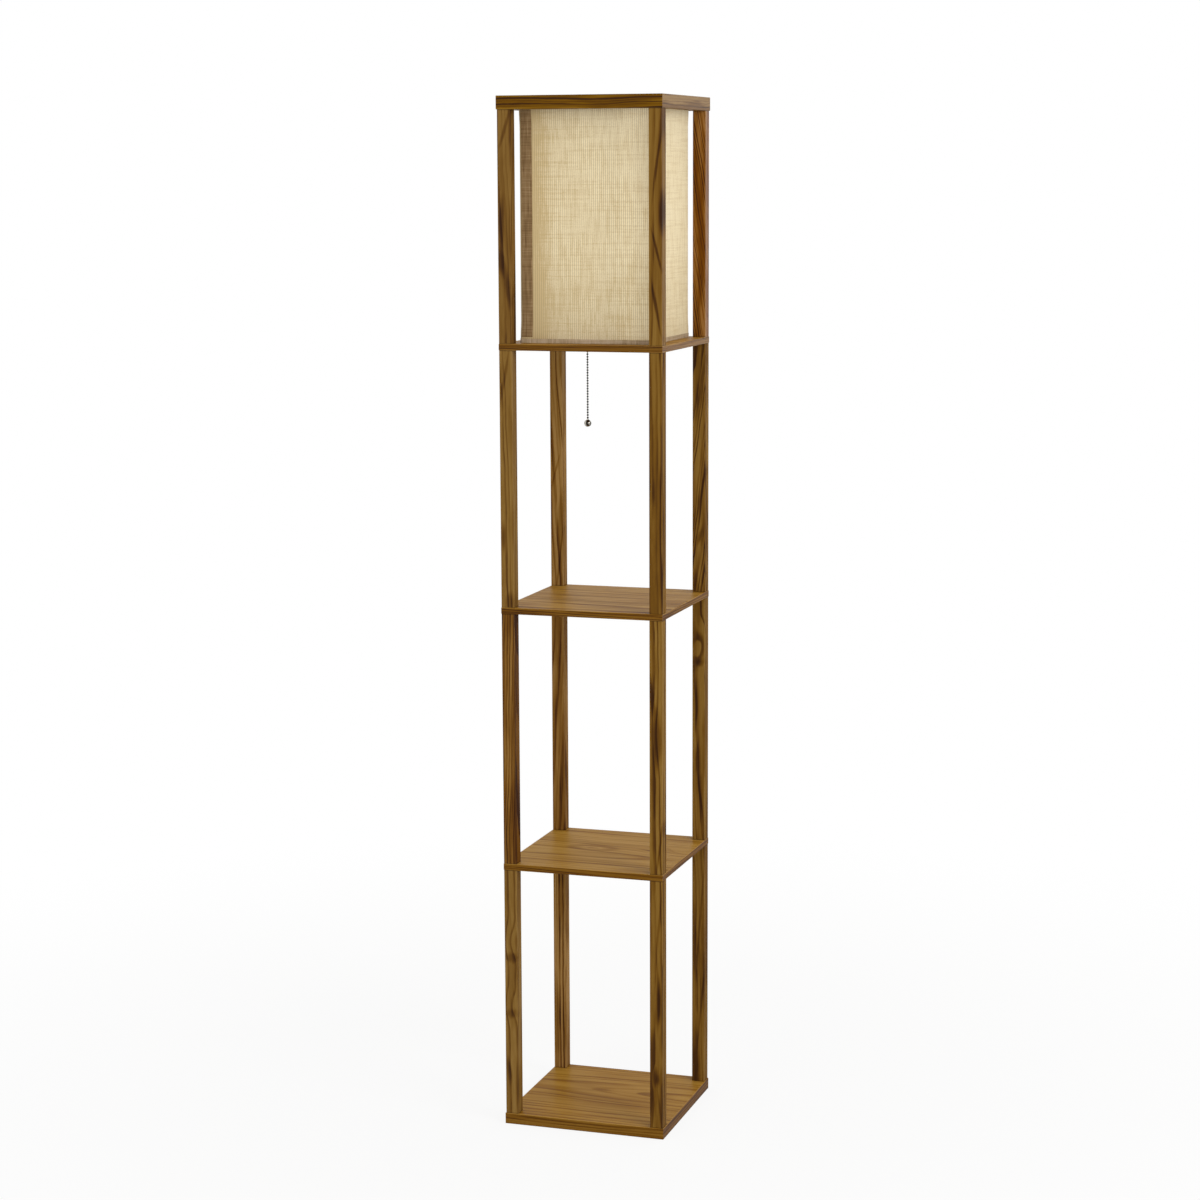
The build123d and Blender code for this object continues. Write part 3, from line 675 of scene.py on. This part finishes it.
def startEdit(piece, kind):
    bpy.ops.object.select_all(action="DESELECT")
    piece.select_set(True)
    bpy.context.view_layer.objects.active = piece
    bpy.ops.object.mode_set(mode="EDIT")
    bpy.ops.mesh.select_mode(type=kind)
    bpy.ops.mesh.select_all(action="DESELECT")


def pick(piece, kind, test):  # selects the faces, edges or verts that pass the test
    cage = bmesh.from_edit_mesh(piece.data)
    for part in getattr(cage, kind):
        part.select_set(bool(test(part)))
    bmesh.update_edit_mesh(piece.data)


def endEdit():
    bpy.ops.object.mode_set(mode="OBJECT")
    bpy.ops.object.select_all(action="DESELECT")


def addBox(name, low, high):  # its corners in mm
    low, high = Vector(low), Vector(high)
    bpy.ops.mesh.primitive_cube_add(size=1, location=(low + high) / 2 * mm)
    piece = bpy.context.object
    piece.name = name
    piece.scale = (high - low) * mm
    bpy.ops.object.transform_apply(location=True, rotation=True, scale=True)
    return piece


def useModifier(piece, name, kind, **settings):
    bpy.ops.object.select_all(action="DESELECT")
    piece.select_set(True)
    bpy.context.view_layer.objects.active = piece
    made = piece.modifiers.new(name, kind)
    for setting, value in settings.items():
        setattr(made, setting, value)
    bpy.ops.object.modifier_apply(modifier=made.name)
    piece.select_set(False)


def upright(edge):
    return abs(edge.verts[0].co.z - edge.verts[1].co.z) > 1 * mm


def squareTube(name, half, bottom, top, corner, across, rows):
    piece = addBox(name, (-half, -half, bottom), (half, half, top))
    startEdit(piece, "FACE")
    pick(piece, "faces", lambda face: abs(face.normal.z) > 0.5)
    bpy.ops.mesh.delete(type="FACE")
    bpy.ops.mesh.select_mode(type="EDGE")
    pick(piece, "edges", upright)
    bpy.ops.mesh.bevel(offset=corner * mm, segments=shade["cornerSteps"], affect="EDGES")
    pick(piece, "edges", lambda edge: not upright(edge) and edge.calc_length() > half * mm)
    bpy.ops.mesh.subdivide(number_cuts=across)
    pick(piece, "edges", upright)
    bpy.ops.mesh.subdivide(number_cuts=rows)
    endEdit()
    return piece


def takeIn(piece):  # the laminate's own shape, for each piece of it
    middle = (shadeLow.z + shadeHigh.z) / 2
    straight = (shadeHigh.z - shadeLow.z) / 2 - shade["hold"]
    for vert in piece.data.vertices:
        place = vert.co / mm
        free = min(max((straight - abs(place.z - middle)) / shade["easeOver"], 0.0), 1.0)
        free = free * free * (3 - 2 * free)
        belly = max(1 - ((place.z - middle) / straight) ** 2, 0.0)
        shrink = 1 - shade["drawnIn"] * free / shadeHalf
        side = 0 if abs(place.x) > abs(place.y) else 1
        other = place[1 - side] / shadeHalf
        spot = place * shade["rippleScale"] + Vector(shade["ripplePlace"])
        ripple = shade["ripple"] * fabricNoise.noise(spot)
        inward = (shade["bow"] * belly + ripple * free) * max(1 - other * other, 0.0)
        place.x *= shrink
        place.y *= shrink
        place[side] -= math.copysign(inward, place[side])
        vert.co = place * mm


def roundSquarePlace(place):  # distance round the shade from its front left corner, in mm
    x, y = place.x / mm, place.y / mm
    if abs(y) >= abs(x):
        return x + shadeHalf if y < 0 else 5 * shadeHalf - x
    return 3 * shadeHalf + y if x > 0 else 7 * shadeHalf - y


def clothMap(piece):  # a UV map in mm, round the shade and up it
    cloth = piece.data.uv_layers.new(name="cloth")
    piece.data.uv_layers.active = cloth
    whole = 8 * shadeHalf
    for face in piece.data.polygons:
        around = roundSquarePlace(face.center)
        for loop in face.loop_indices:
            place = piece.data.vertices[piece.data.loops[loop].vertex_index].co
            u = roundSquarePlace(place)
            u += whole * round((around - u) / whole)
            cloth.data[loop].uv = (u, place.z / mm)


def laminate(name, half, bottom, top, wall, corner, across, rows, replaces):
    piece = squareTube(name, half, bottom, top, corner, across, rows)
    takeIn(piece)
    useModifier(piece, "wall", "SOLIDIFY", thickness=wall * mm, offset=-1.0, use_even_offset=True)
    clothMap(piece)
    bpy.ops.object.select_all(action="DESELECT")
    piece.select_set(True)
    bpy.ops.object.shade_smooth_by_angle(angle=math.radians(shade["smoothBelow"]))
    piece.select_set(False)
    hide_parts(*replaces)
    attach(piece, "shade")
    return piece


def makeTape(where):
    low, high = (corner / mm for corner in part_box(f"shade_hem_{where}"))
    wall = high.x - shadeHalf - shade["tapeGap"]
    bottom, top = low.z, high.z
    if where == "bottom":
        top = bottom + shade["hemShown"]
    else:
        bottom = top - shade["hemShown"]
    name, replaced = f"shade_tape_{where}", [f"shade_hem_{where}"]
    steps = (shade["tapeAcross"], shade["tapeRows"])
    return laminate(name, high.x, bottom, top, wall, shade["tapeCorner"], *steps, replaced)


def makeLap():
    lapLow, lapHigh = (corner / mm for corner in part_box("shade_seam"))
    lap = addBox("shade_lap", lapLow, lapHigh)
    startEdit(lap, "EDGE")
    pick(lap, "edges", upright)
    bpy.ops.mesh.subdivide(number_cuts=shade["rows"])
    pick(lap, "edges", lambda edge: abs(edge.verts[0].co.x - edge.verts[1].co.x) > shade["lapEdge"] * mm)
    bpy.ops.mesh.subdivide(number_cuts=shade["lapAcross"])
    endEdit()
    takeIn(lap)
    steps = shade["edgeSteps"]
    useModifier(lap, "edge", "BEVEL", width=shade["edge"] * mm, segments=steps, limit_method="ANGLE")
    clothMap(lap)
    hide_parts("shade_seam")
    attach(lap, "shade")
    return lap


def makeShade():
    low, high = shadeLow.z, shadeHigh.z
    steps = (shade["across"], shade["rows"])
    wall, corner = shade["skin"], shade["corner"]
    skin = laminate("shade_skin", shadeHalf, low, high, wall, corner, *steps, ["shade_fabric"])
    inner = shadeHalf - shade["skin"] - shade["linerGap"]
    linerLow, linerHigh = (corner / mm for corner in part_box("shade_liner"))
    low, high = linerLow.z, linerHigh.z
    wall, corner = shade["liner"], shade["linerCorner"]
    lining = laminate("shade_lining", inner, low, high, wall, corner, *steps, ["shade_liner"])
    tapes = [makeTape("bottom"), makeTape("top")]
    return skin, lining, tapes, makeLap()


linen = {
    "pale": paint(240, 227, 192),
    "yarn": paint(206, 184, 138),
    "gapShadeColour": paint(140, 112, 74),
    "pitches": (3.1, 1.9),  # mm between upright and between level threads
    "darkPitches": (2.2, 1.4),
    "strayScale": (0.02, 0.02, 1),
    "stray": (2.4, 2.4, 0),  # mm that a thread strays
    "roundness": 1.6,  # how far a thread falls away to its sides
    "dip": 0.3,  # how far a thread goes down under the next one
    "threadStep": 2.37,
    "threadRates": (0.025, 0.008),  # how soon an upright and a level thread's thickness changes
    "threadStarts": (0.0, 31.0),
    # noise that darkens the cloth: where it starts, where it is full, and its share
    "uprightDark": (0.42, 0.66, 0.28),
    "levelDark": (0.46, 0.68, 0.25),
    "cloudDark": (0.35, 0.65, 0.1),
    "speckDark": (0.5, 0.7, 0.3),
    "cloudScale": (0.012, 0.02, 1),
    "speckScale": (0.45, 0.45, 1),
    # painted shade by the seam (the lap's shadow, with browner cloth) and at the foot by the deck, and darker
    # over the front towards the seam: mm where it is full, where it ends, its share
    "seamDark": (20.0, 62.0, 0.75),
    "frontDark": (20.0, 200.0, 0.14),
    "paintedFootShade": (50.0, 145.0, 0.24),
    # painted shade where the threads part and where they fall away to their sides
    "gap": (0.45, 0.75),
    "gapShare": 0.2,
    "furrow": (0.3, 0.75),
    "furrowShare": 0.25,
    "crease": (0.4, 2.2, 0.5),  # painted shade in the corner crease: mm from a corner, and its share
    "rough": (0.82, 0.94),
    "lift": 0.5,
    "depth": 0.0004,
    "gloss": 0.15,
    "sheen": 0.12,
    "sheenRough": 0.5,
    # painted light: the cloth glows, standing in for light from the bulb and the lamps coming through it
    "glow": 0.19,
    "glowColour": paint(255, 236, 190),
    "lampHeight": 1.43,
    "lampReach": 0.23,
    "lampShare": (0.5, 0.05),
    "rightLightFacing": (0.4, 0.9),
    "rightLightShare": 0.5,
    "postLight": (140.0, 196.0, 1.0),  # mm from the seam where painted light lifts the front post's shadow, and its share
    "postLightEnd": 2.0,  # mm before the corner
    "darkThreads": (0.55, 0.45),  # shares of the upright and the level threads in the dark cloths
    "darkPlaces": (0.32, 0.5, 0.68),
    "darkGap": 0.35,
    "darkRough": (0.85, 0.95),
    # painted shade: the doubled cloth of the tapes and the lap is darker, standing in for less light coming
    # through it
    "tapeShades": (paint(150, 127, 97), paint(190, 169, 139), paint(212, 193, 166)),
    "lapShades": (paint(108, 82, 50), paint(142, 114, 78), paint(170, 142, 104)),
}


def weave(tree, pitches):
    # gives the place on the cloth, the threads' height, the upright threads' own, and each thread's thickness
    cloth = clothPlace(tree)
    stray = strayNoise(tree, stretch(tree, cloth, linen["strayScale"]))
    place = split(tree, reach(tree, "MULTIPLY_ADD", stray, linen["stray"], cloth))
    counts = [calc(tree, "DIVIDE", place[i], pitches[i]) for i in (0, 1)]
    ridges = []
    for count in counts:
        phase = calc(tree, "ABSOLUTE", calc(tree, "SUBTRACT", calc(tree, "FRACT", count), 0.5))
        ridges.append(calc(tree, "SUBTRACT", 1.0, calc(tree, "MULTIPLY", phase, linen["roundness"])))
    total = calc(tree, "ADD", *[calc(tree, "FLOOR", count) for count in counts])
    odd = calc(tree, "MULTIPLY", calc(tree, "FRACT", calc(tree, "MULTIPLY", total, 0.5)), 2.0)
    dip = linen["dip"]
    over = calc(tree, "MULTIPLY", ridges[0], calc(tree, "MULTIPLY_ADD", odd, dip, 1.0 - dip))
    under = calc(tree, "MULTIPLY", ridges[1], calc(tree, "MULTIPLY_ADD", odd, -dip, 1.0))
    threads = []
    for i in (0, 1):
        thread = calc(tree, "FLOOR", counts[i])
        own = calc(tree, "MULTIPLY_ADD", thread, linen["threadStep"], linen["threadStarts"][i])
        along = calc(tree, "MULTIPLY", place[1 - i], linen["threadRates"][i])
        threads.append(noise(tree, join(tree, own, along), 1.0, 1.0))
    return {
        "place": place,
        "height": calc(tree, "MAXIMUM", over, under),
        "ridge": ridges[0],
        "upright": threads[0],
        "level": threads[1],
    }


def linenDark(tree, cloth, fromSeam):  # how much darker than its palest the cloth is at each place
    around = clothPlace(tree)
    noises = {
        "uprightDark": cloth["upright"],
        "levelDark": cloth["level"],
        "cloudDark": noise(tree, stretch(tree, around, linen["cloudScale"]), 1.0, 3.0),
        "speckDark": noise(tree, stretch(tree, around, linen["speckScale"])),
    }
    dark = 0.0
    for name, value in noises.items():
        start, full, share = linen[name]
        dark = calc(tree, "MULTIPLY_ADD", ramp(tree, value, start, full), share, dark)
    fromFoot = calc(tree, "SUBTRACT", cloth["place"][1], shadeLow.z)
    # painted shade by the seam and at the foot; darker over the front towards the seam
    for name, value in {"seamDark": fromSeam, "frontDark": fromSeam, "paintedFootShade": fromFoot}.items():
        full, end, share = linen[name]
        dark = calc(tree, "ADD", dark, ramp(tree, value, full, end, share, 0.0))
    return calc(tree, "ADD", dark, 0.0, clamp=True)


def linenGlow(tree, tinted, around):  # painted light: glow that stands in for light through the cloth, from the lamp and from the right, and that lifts the front post's shadow
    fromLamp = reach(tree, "SUBTRACT", objectPlace(tree), (0, 0, linen["lampHeight"]))
    away = reach(tree, "LENGTH", fromLamp)
    near = ramp(tree, away, shadeHalf * mm, linen["lampReach"], *linen["lampShare"])
    light = blend(tree, 1.0, tinted, linen["glowColour"], "MULTIPLY")
    light = blend(tree, near, (0, 0, 0, 1), light)
    facing = split(tree, put(tree, "TexCoord").outputs["Normal"])[0]
    # painted light on the right face
    paintedRightLight = calc(tree, "MULTIPLY", ramp(tree, facing, *linen["rightLightFacing"]), linen["rightLightShare"])
    light = blend(tree, paintedRightLight, light, tinted, "ADD")
    # painted light over the front post's shadow, at the front face's right end
    start, full, share = linen["postLight"]
    corner = 2 * shadeHalf
    upToCorner = ramp(tree, around, corner, corner - linen["postLightEnd"], 0.0, share)
    behindPost = calc(tree, "MULTIPLY", ramp(tree, around, start, full), upToCorner)
    return blend(tree, behindPost, light, tinted, "ADD")


def linenMaterial():
    made, tree, shader = blank("linen")
    cloth = weave(tree, linen["pitches"])
    around = cloth["place"][0]
    fromSeam = calc(tree, "PINGPONG", around, 4 * shadeHalf)
    tinted = blend(tree, linenDark(tree, cloth, fromSeam), linen["pale"], linen["yarn"])
    # painted shade in the gaps and furrows between threads
    gap = calc(tree, "MULTIPLY", ramp(tree, cloth["height"], *linen["gap"], 1.0, 0.0), linen["gapShare"])
    furrow = ramp(tree, cloth["ridge"], *linen["furrow"], 1.0, 0.0)
    gap = calc(tree, "MULTIPLY_ADD", furrow, linen["furrowShare"], gap)
    tinted = blend(tree, gap, tinted, linen["gapShadeColour"])
    # painted shade in the corner creases
    fromCorner = calc(tree, "PINGPONG", around, shadeHalf)
    full, end, share = linen["crease"]
    tinted = blend(tree, ramp(tree, fromCorner, full, end, share, 0.0), tinted, linen["gapShadeColour"])
    rough = roughness(tree, cloth["upright"], *linen["rough"])
    tree.links.new(linenGlow(tree, tinted, around), shader.inputs["Emission Color"])
    finishShader(
        tree, shader, tinted, rough, cloth["height"], linen, Emission_Strength=linen["glow"],
        Specular_IOR_Level=linen["gloss"], Sheen_Weight=linen["sheen"], Sheen_Roughness=linen["sheenRough"],
    )
    return made


def darkCloth(name, shades):
    made, tree, shader = blank(name)
    cloth = weave(tree, linen["darkPitches"])
    uprightShare, levelShare = linen["darkThreads"]
    value = calc(tree, "MULTIPLY", cloth["level"], levelShare)
    value = calc(tree, "MULTIPLY_ADD", cloth["upright"], uprightShare, value)
    # painted shade: the doubled cloth is given darker shades
    tinted = colours(tree, value, linen["darkPlaces"], shades)
    # painted shade in the gaps between threads
    gap = calc(tree, "MULTIPLY", ramp(tree, cloth["height"], *linen["gap"], 1.0, 0.0), linen["darkGap"])
    tinted = blend(tree, gap, tinted, shades[0])
    rough = roughness(tree, cloth["upright"], *linen["darkRough"])
    finishShader(tree, shader, tinted, rough, cloth["height"], linen, Specular_IOR_Level=linen["gloss"])
    return made


backing = {
    "shades": (paint(214, 204, 178), paint(232, 224, 204)),
    "places": (0.3, 0.7),
    "mottleScale": (0.03, 0.03, 1),
    "mottleDetail": (4.0, 0.6),
    "gridScale": (0.8, 0.8, 1),
    "rough": (0.2, 0.8, 0.45, 0.6),  # over 0.2 to 0.8 of the noise
    "lift": 0.15,
    "depth": 0.0002,
    # painted light: the lining glows as if the bulb lit it
    "glow": 0.25,
}


def liningMaterial():
    made, tree, shader = blank("shade_backing")
    cloth = clothPlace(tree)
    mottle = noise(tree, stretch(tree, cloth, backing["mottleScale"]), 1.0, *backing["mottleDetail"])
    grid = noise(tree, stretch(tree, cloth, backing["gridScale"]))
    tinted = colours(tree, mottle, backing["places"], backing["shades"])
    rough = ramp(tree, grid, *backing["rough"], smooth=False)
    # painted light: the lining glows in its own colour
    tree.links.new(tinted, shader.inputs["Emission Color"])
    finishShader(tree, shader, tinted, rough, grid, backing, Emission_Strength=backing["glow"])
    return made


skin, lining, tapes, lap = makeShade()
wear(skin, linenMaterial())
wear(lining, liningMaterial())
tapeCloth = darkCloth("linen_tape", linen["tapeShades"])
for tape in tapes:
    wear(tape, tapeCloth)
wear(lap, darkCloth("linen_lap", linen["lapShades"]))
print("shade finished")

# Small metal, plastic and other parts. "shades" run from worn or dull to clean, but the end ball's run from a
# painted dark reflection to a painted highlight.
metalLook = {
    "tarnish": (160.0, 4.0, 0.6),  # scale, detail and roughness
    "tarnishShare": 0.65,
    "grainStretch": (1, 1, 0.12),
    "grainDetail": (3.0, 0.6),
    "grainShare": 0.35,
    "places": (0.34, 0.58),
    "lift": 0.12,
    "depth": 0.00008,
}
finishes = {
    "zinc_steel": {
        "shades": (paint(134, 138, 140), paint(190, 193, 194)), "rough": (0.3, 0.5), "grain": 900,
    },
    "plated_steel": {
        "shades": (paint(146, 122, 74), paint(206, 184, 120)), "rough": (0.26, 0.46), "grain": 900,
    },
    "nickel_shell": {
        "shades": (paint(176, 170, 160), paint(210, 205, 196)), "rough": (0.2, 0.36), "grain": 500,
    },
    "brass_contact": {
        "shades": (paint(148, 108, 50), paint(214, 172, 92)), "rough": (0.2, 0.4), "grain": 900,
    },
    "nickel_chain": {
        "shades": (paint(58, 49, 40), paint(138, 126, 110)), "rough": (0.16, 0.3), "grain": 1500,
    },
    "bulb_metal": {
        "shades": (paint(150, 148, 143), paint(206, 204, 198)), "rough": (0.24, 0.4), "grain": 700,
    },
}


def metal(name, finish):
    look = {**metalLook, **finish}
    made, tree, shader = blank(name)
    place = objectPlace(tree)
    tarnish = noise(tree, place, *look["tarnish"])
    grain = noise(tree, stretch(tree, place, look["grainStretch"]), look["grain"], *look["grainDetail"])
    value = calc(tree, "MULTIPLY", tarnish, look["tarnishShare"])
    value = calc(tree, "MULTIPLY_ADD", grain, look["grainShare"], value)
    tinted = colours(tree, value, look["places"], look["shades"])
    rough = roughness(tree, value, *reversed(look["rough"]))
    finishShader(tree, shader, tinted, rough, grain, look, Metallic=1.0)
    return made


dullLook = {
    "patchScale": 0.12,  # against the finish's own
    "patchDetail": (3.0, 0.6),
    "patchShare": 0.4,
    "gritDetail": (4.0, 0.65),
    "gritShare": 0.6,
    "places": (0.34, 0.62),
    "pull": 1.0,  # less than 1 draws the pattern out upwards
    "nap": 0.0,
    "lift": 0.15,
    "depth": 0.0002,
}
dullFinishes = {
    "black_plastic": {
        "shades": (paint(22, 22, 22), paint(44, 43, 42)), "rough": (0.42, 0.6), "scale": 700,
    },
    "black_phenolic": {
        "shades": (paint(24, 20, 18), paint(52, 45, 40)), "rough": (0.16, 0.34), "scale": 300,
    },
    "fibre_board": {
        "shades": (paint(130, 104, 74), paint(184, 158, 122)), "rough": (0.8, 0.95), "scale": 900,
    },
    "wire_steel": {
        "shades": (paint(206, 200, 188), paint(232, 229, 220)), "rough": (0.3, 0.5), "scale": 250,
    },
    "beech": {
        "shades": (paint(176, 138, 92), paint(214, 180, 134)), "rough": (0.6, 0.75), "scale": 240,
        "pull": 0.08,
    },
    "felt": {
        "shades": (paint(40, 28, 20), paint(82, 62, 46)), "rough": (0.9, 1.0), "scale": 1600, "nap": 0.5,
        "lift": 0.5,
    },
}


def dull(name, finish):
    look = {**dullLook, **finish}
    made, tree, shader = blank(name)
    place = stretch(tree, objectPlace(tree), (1, 1, look["pull"]))
    patch = noise(tree, place, look["scale"] * look["patchScale"], *look["patchDetail"])
    grit = noise(tree, place, look["scale"], *look["gritDetail"])
    value = calc(tree, "MULTIPLY", patch, look["patchShare"])
    value = calc(tree, "MULTIPLY_ADD", grit, look["gritShare"], value)
    tinted = colours(tree, value, look["places"], look["shades"])
    rough = roughness(tree, grit, *look["rough"])
    finishShader(tree, shader, tinted, rough, grit, look, Sheen_Weight=look["nap"])
    return made


bulbGlass = {
    "shades": (paint(204, 197, 180), paint(226, 221, 208)),
    "places": (0.3, 0.7),
    "cloud": (40.0, 3.0, 0.5),
    "frost": (900.0, 3.0, 0.6),
    "rough": (0.28, 0.42),
    "lift": 0.1,
    "depth": 0.0001,
    "warm": paint(214, 160, 96),
    "bright": paint(255, 238, 206),
    "litFrom": 0.35,
    "litHeight": 0.6,  # of the glass's own height
    "glow": 0.08,
}


def glassMaterial():
    made, tree, shader = blank("frosted_glass")
    place = objectPlace(tree)
    frost = noise(tree, place, *bulbGlass["frost"])
    cloud = noise(tree, place, *bulbGlass["cloud"])
    tinted = colours(tree, cloud, bulbGlass["places"], bulbGlass["shades"])
    low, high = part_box("bulb_glass")
    litTop = low.z + (high.z - low.z) * bulbGlass["litHeight"]
    lit = ramp(tree, split(tree, place)[2], low.z, litTop, bulbGlass["litFrom"], 1.0)
    light = blend(tree, lit, bulbGlass["warm"], bulbGlass["bright"])
    tree.links.new(light, shader.inputs["Emission Color"])
    rough = roughness(tree, frost, *bulbGlass["rough"])
    finishShader(tree, shader, tinted, rough, frost, bulbGlass, Emission_Strength=bulbGlass["glow"])
    return made


chain = {
    # painted reflection: the beads' near-black stands in for the dark reflections of polished nickel
    "bead": (paint(4, 3, 2), paint(22, 18, 14)),
    "beadPlaces": (0.35, 0.65),
    "tarnish": (420.0, 3.0, 0.6),
    "rough": (0.3, 0.18),
    "metal": 0.2,
    "gloss": 0.1,
    "lift": 0.1,
    "depth": 0.00005,
    "link": paint(176, 168, 154),
    "linkRadius": (0.7, 1.15),  # mm from the chain's line, where the links end and the beads begin
}


def beadMaterial():
    made, tree, shader = blank("nickel_beads")
    low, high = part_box("chain_middle")
    line = (low + high) / 2 / mm
    place = objectPlace(tree)
    fromLine = stretch(tree, place, (1 / mm, 1 / mm, 0), (-line.x, -line.y, 0))
    tarnish = noise(tree, place, *chain["tarnish"])
    # painted dark reflection on the beads
    bead = colours(tree, tarnish, chain["beadPlaces"], chain["bead"])
    out = ramp(tree, reach(tree, "LENGTH", fromLine), *chain["linkRadius"])
    tinted = blend(tree, out, chain["link"], bead)
    rough = roughness(tree, tarnish, *chain["rough"])
    plain = {"Metallic": chain["metal"], "Specular_IOR_Level": chain["gloss"]}
    finishShader(tree, shader, tinted, rough, tarnish, chain, **plain)
    return made


endBall = {
    # painted reflections: patches from a painted dark reflection to a painted highlight
    "shades": (paint(8, 7, 5), paint(186, 180, 168)),
    "places": (0.44, 0.58),
    "cloud": (260.0, 3.0, 0.6),
    "fine": (2400.0, 2.0, 0.6),
    "rough": (0.16, 0.07),
    "lift": 0.06,
    "depth": 0.00004,
}


def ballMaterial():
    made, tree, shader = blank("nickel_ball")
    place = objectPlace(tree)
    cloud = noise(tree, place, *endBall["cloud"])
    fine = noise(tree, place, *endBall["fine"])
    # painted reflections and highlights in patches
    tinted = colours(tree, cloud, endBall["places"], endBall["shades"])
    rough = roughness(tree, cloud, *endBall["rough"])
    finishShader(tree, shader, tinted, rough, fine, endBall, Metallic=1.0)
    return made


def makeFinishes():
    made = {name: metal(name, finish) for name, finish in finishes.items()}
    made.update({name: dull(name, finish) for name, finish in dullFinishes.items()})
    made["frosted_glass"] = glassMaterial()
    for part in frame["record"]["subparts"]:
        if part["material_slot"] in made:
            wear(part["node"], made[part["material_slot"]])
    beads = beadMaterial()
    for node in ("chain_top", "chain_middle", "chain_end"):
        wear(node, beads)
    wear("end_ball", ballMaterial())


makeFinishes()
print("small parts finished")
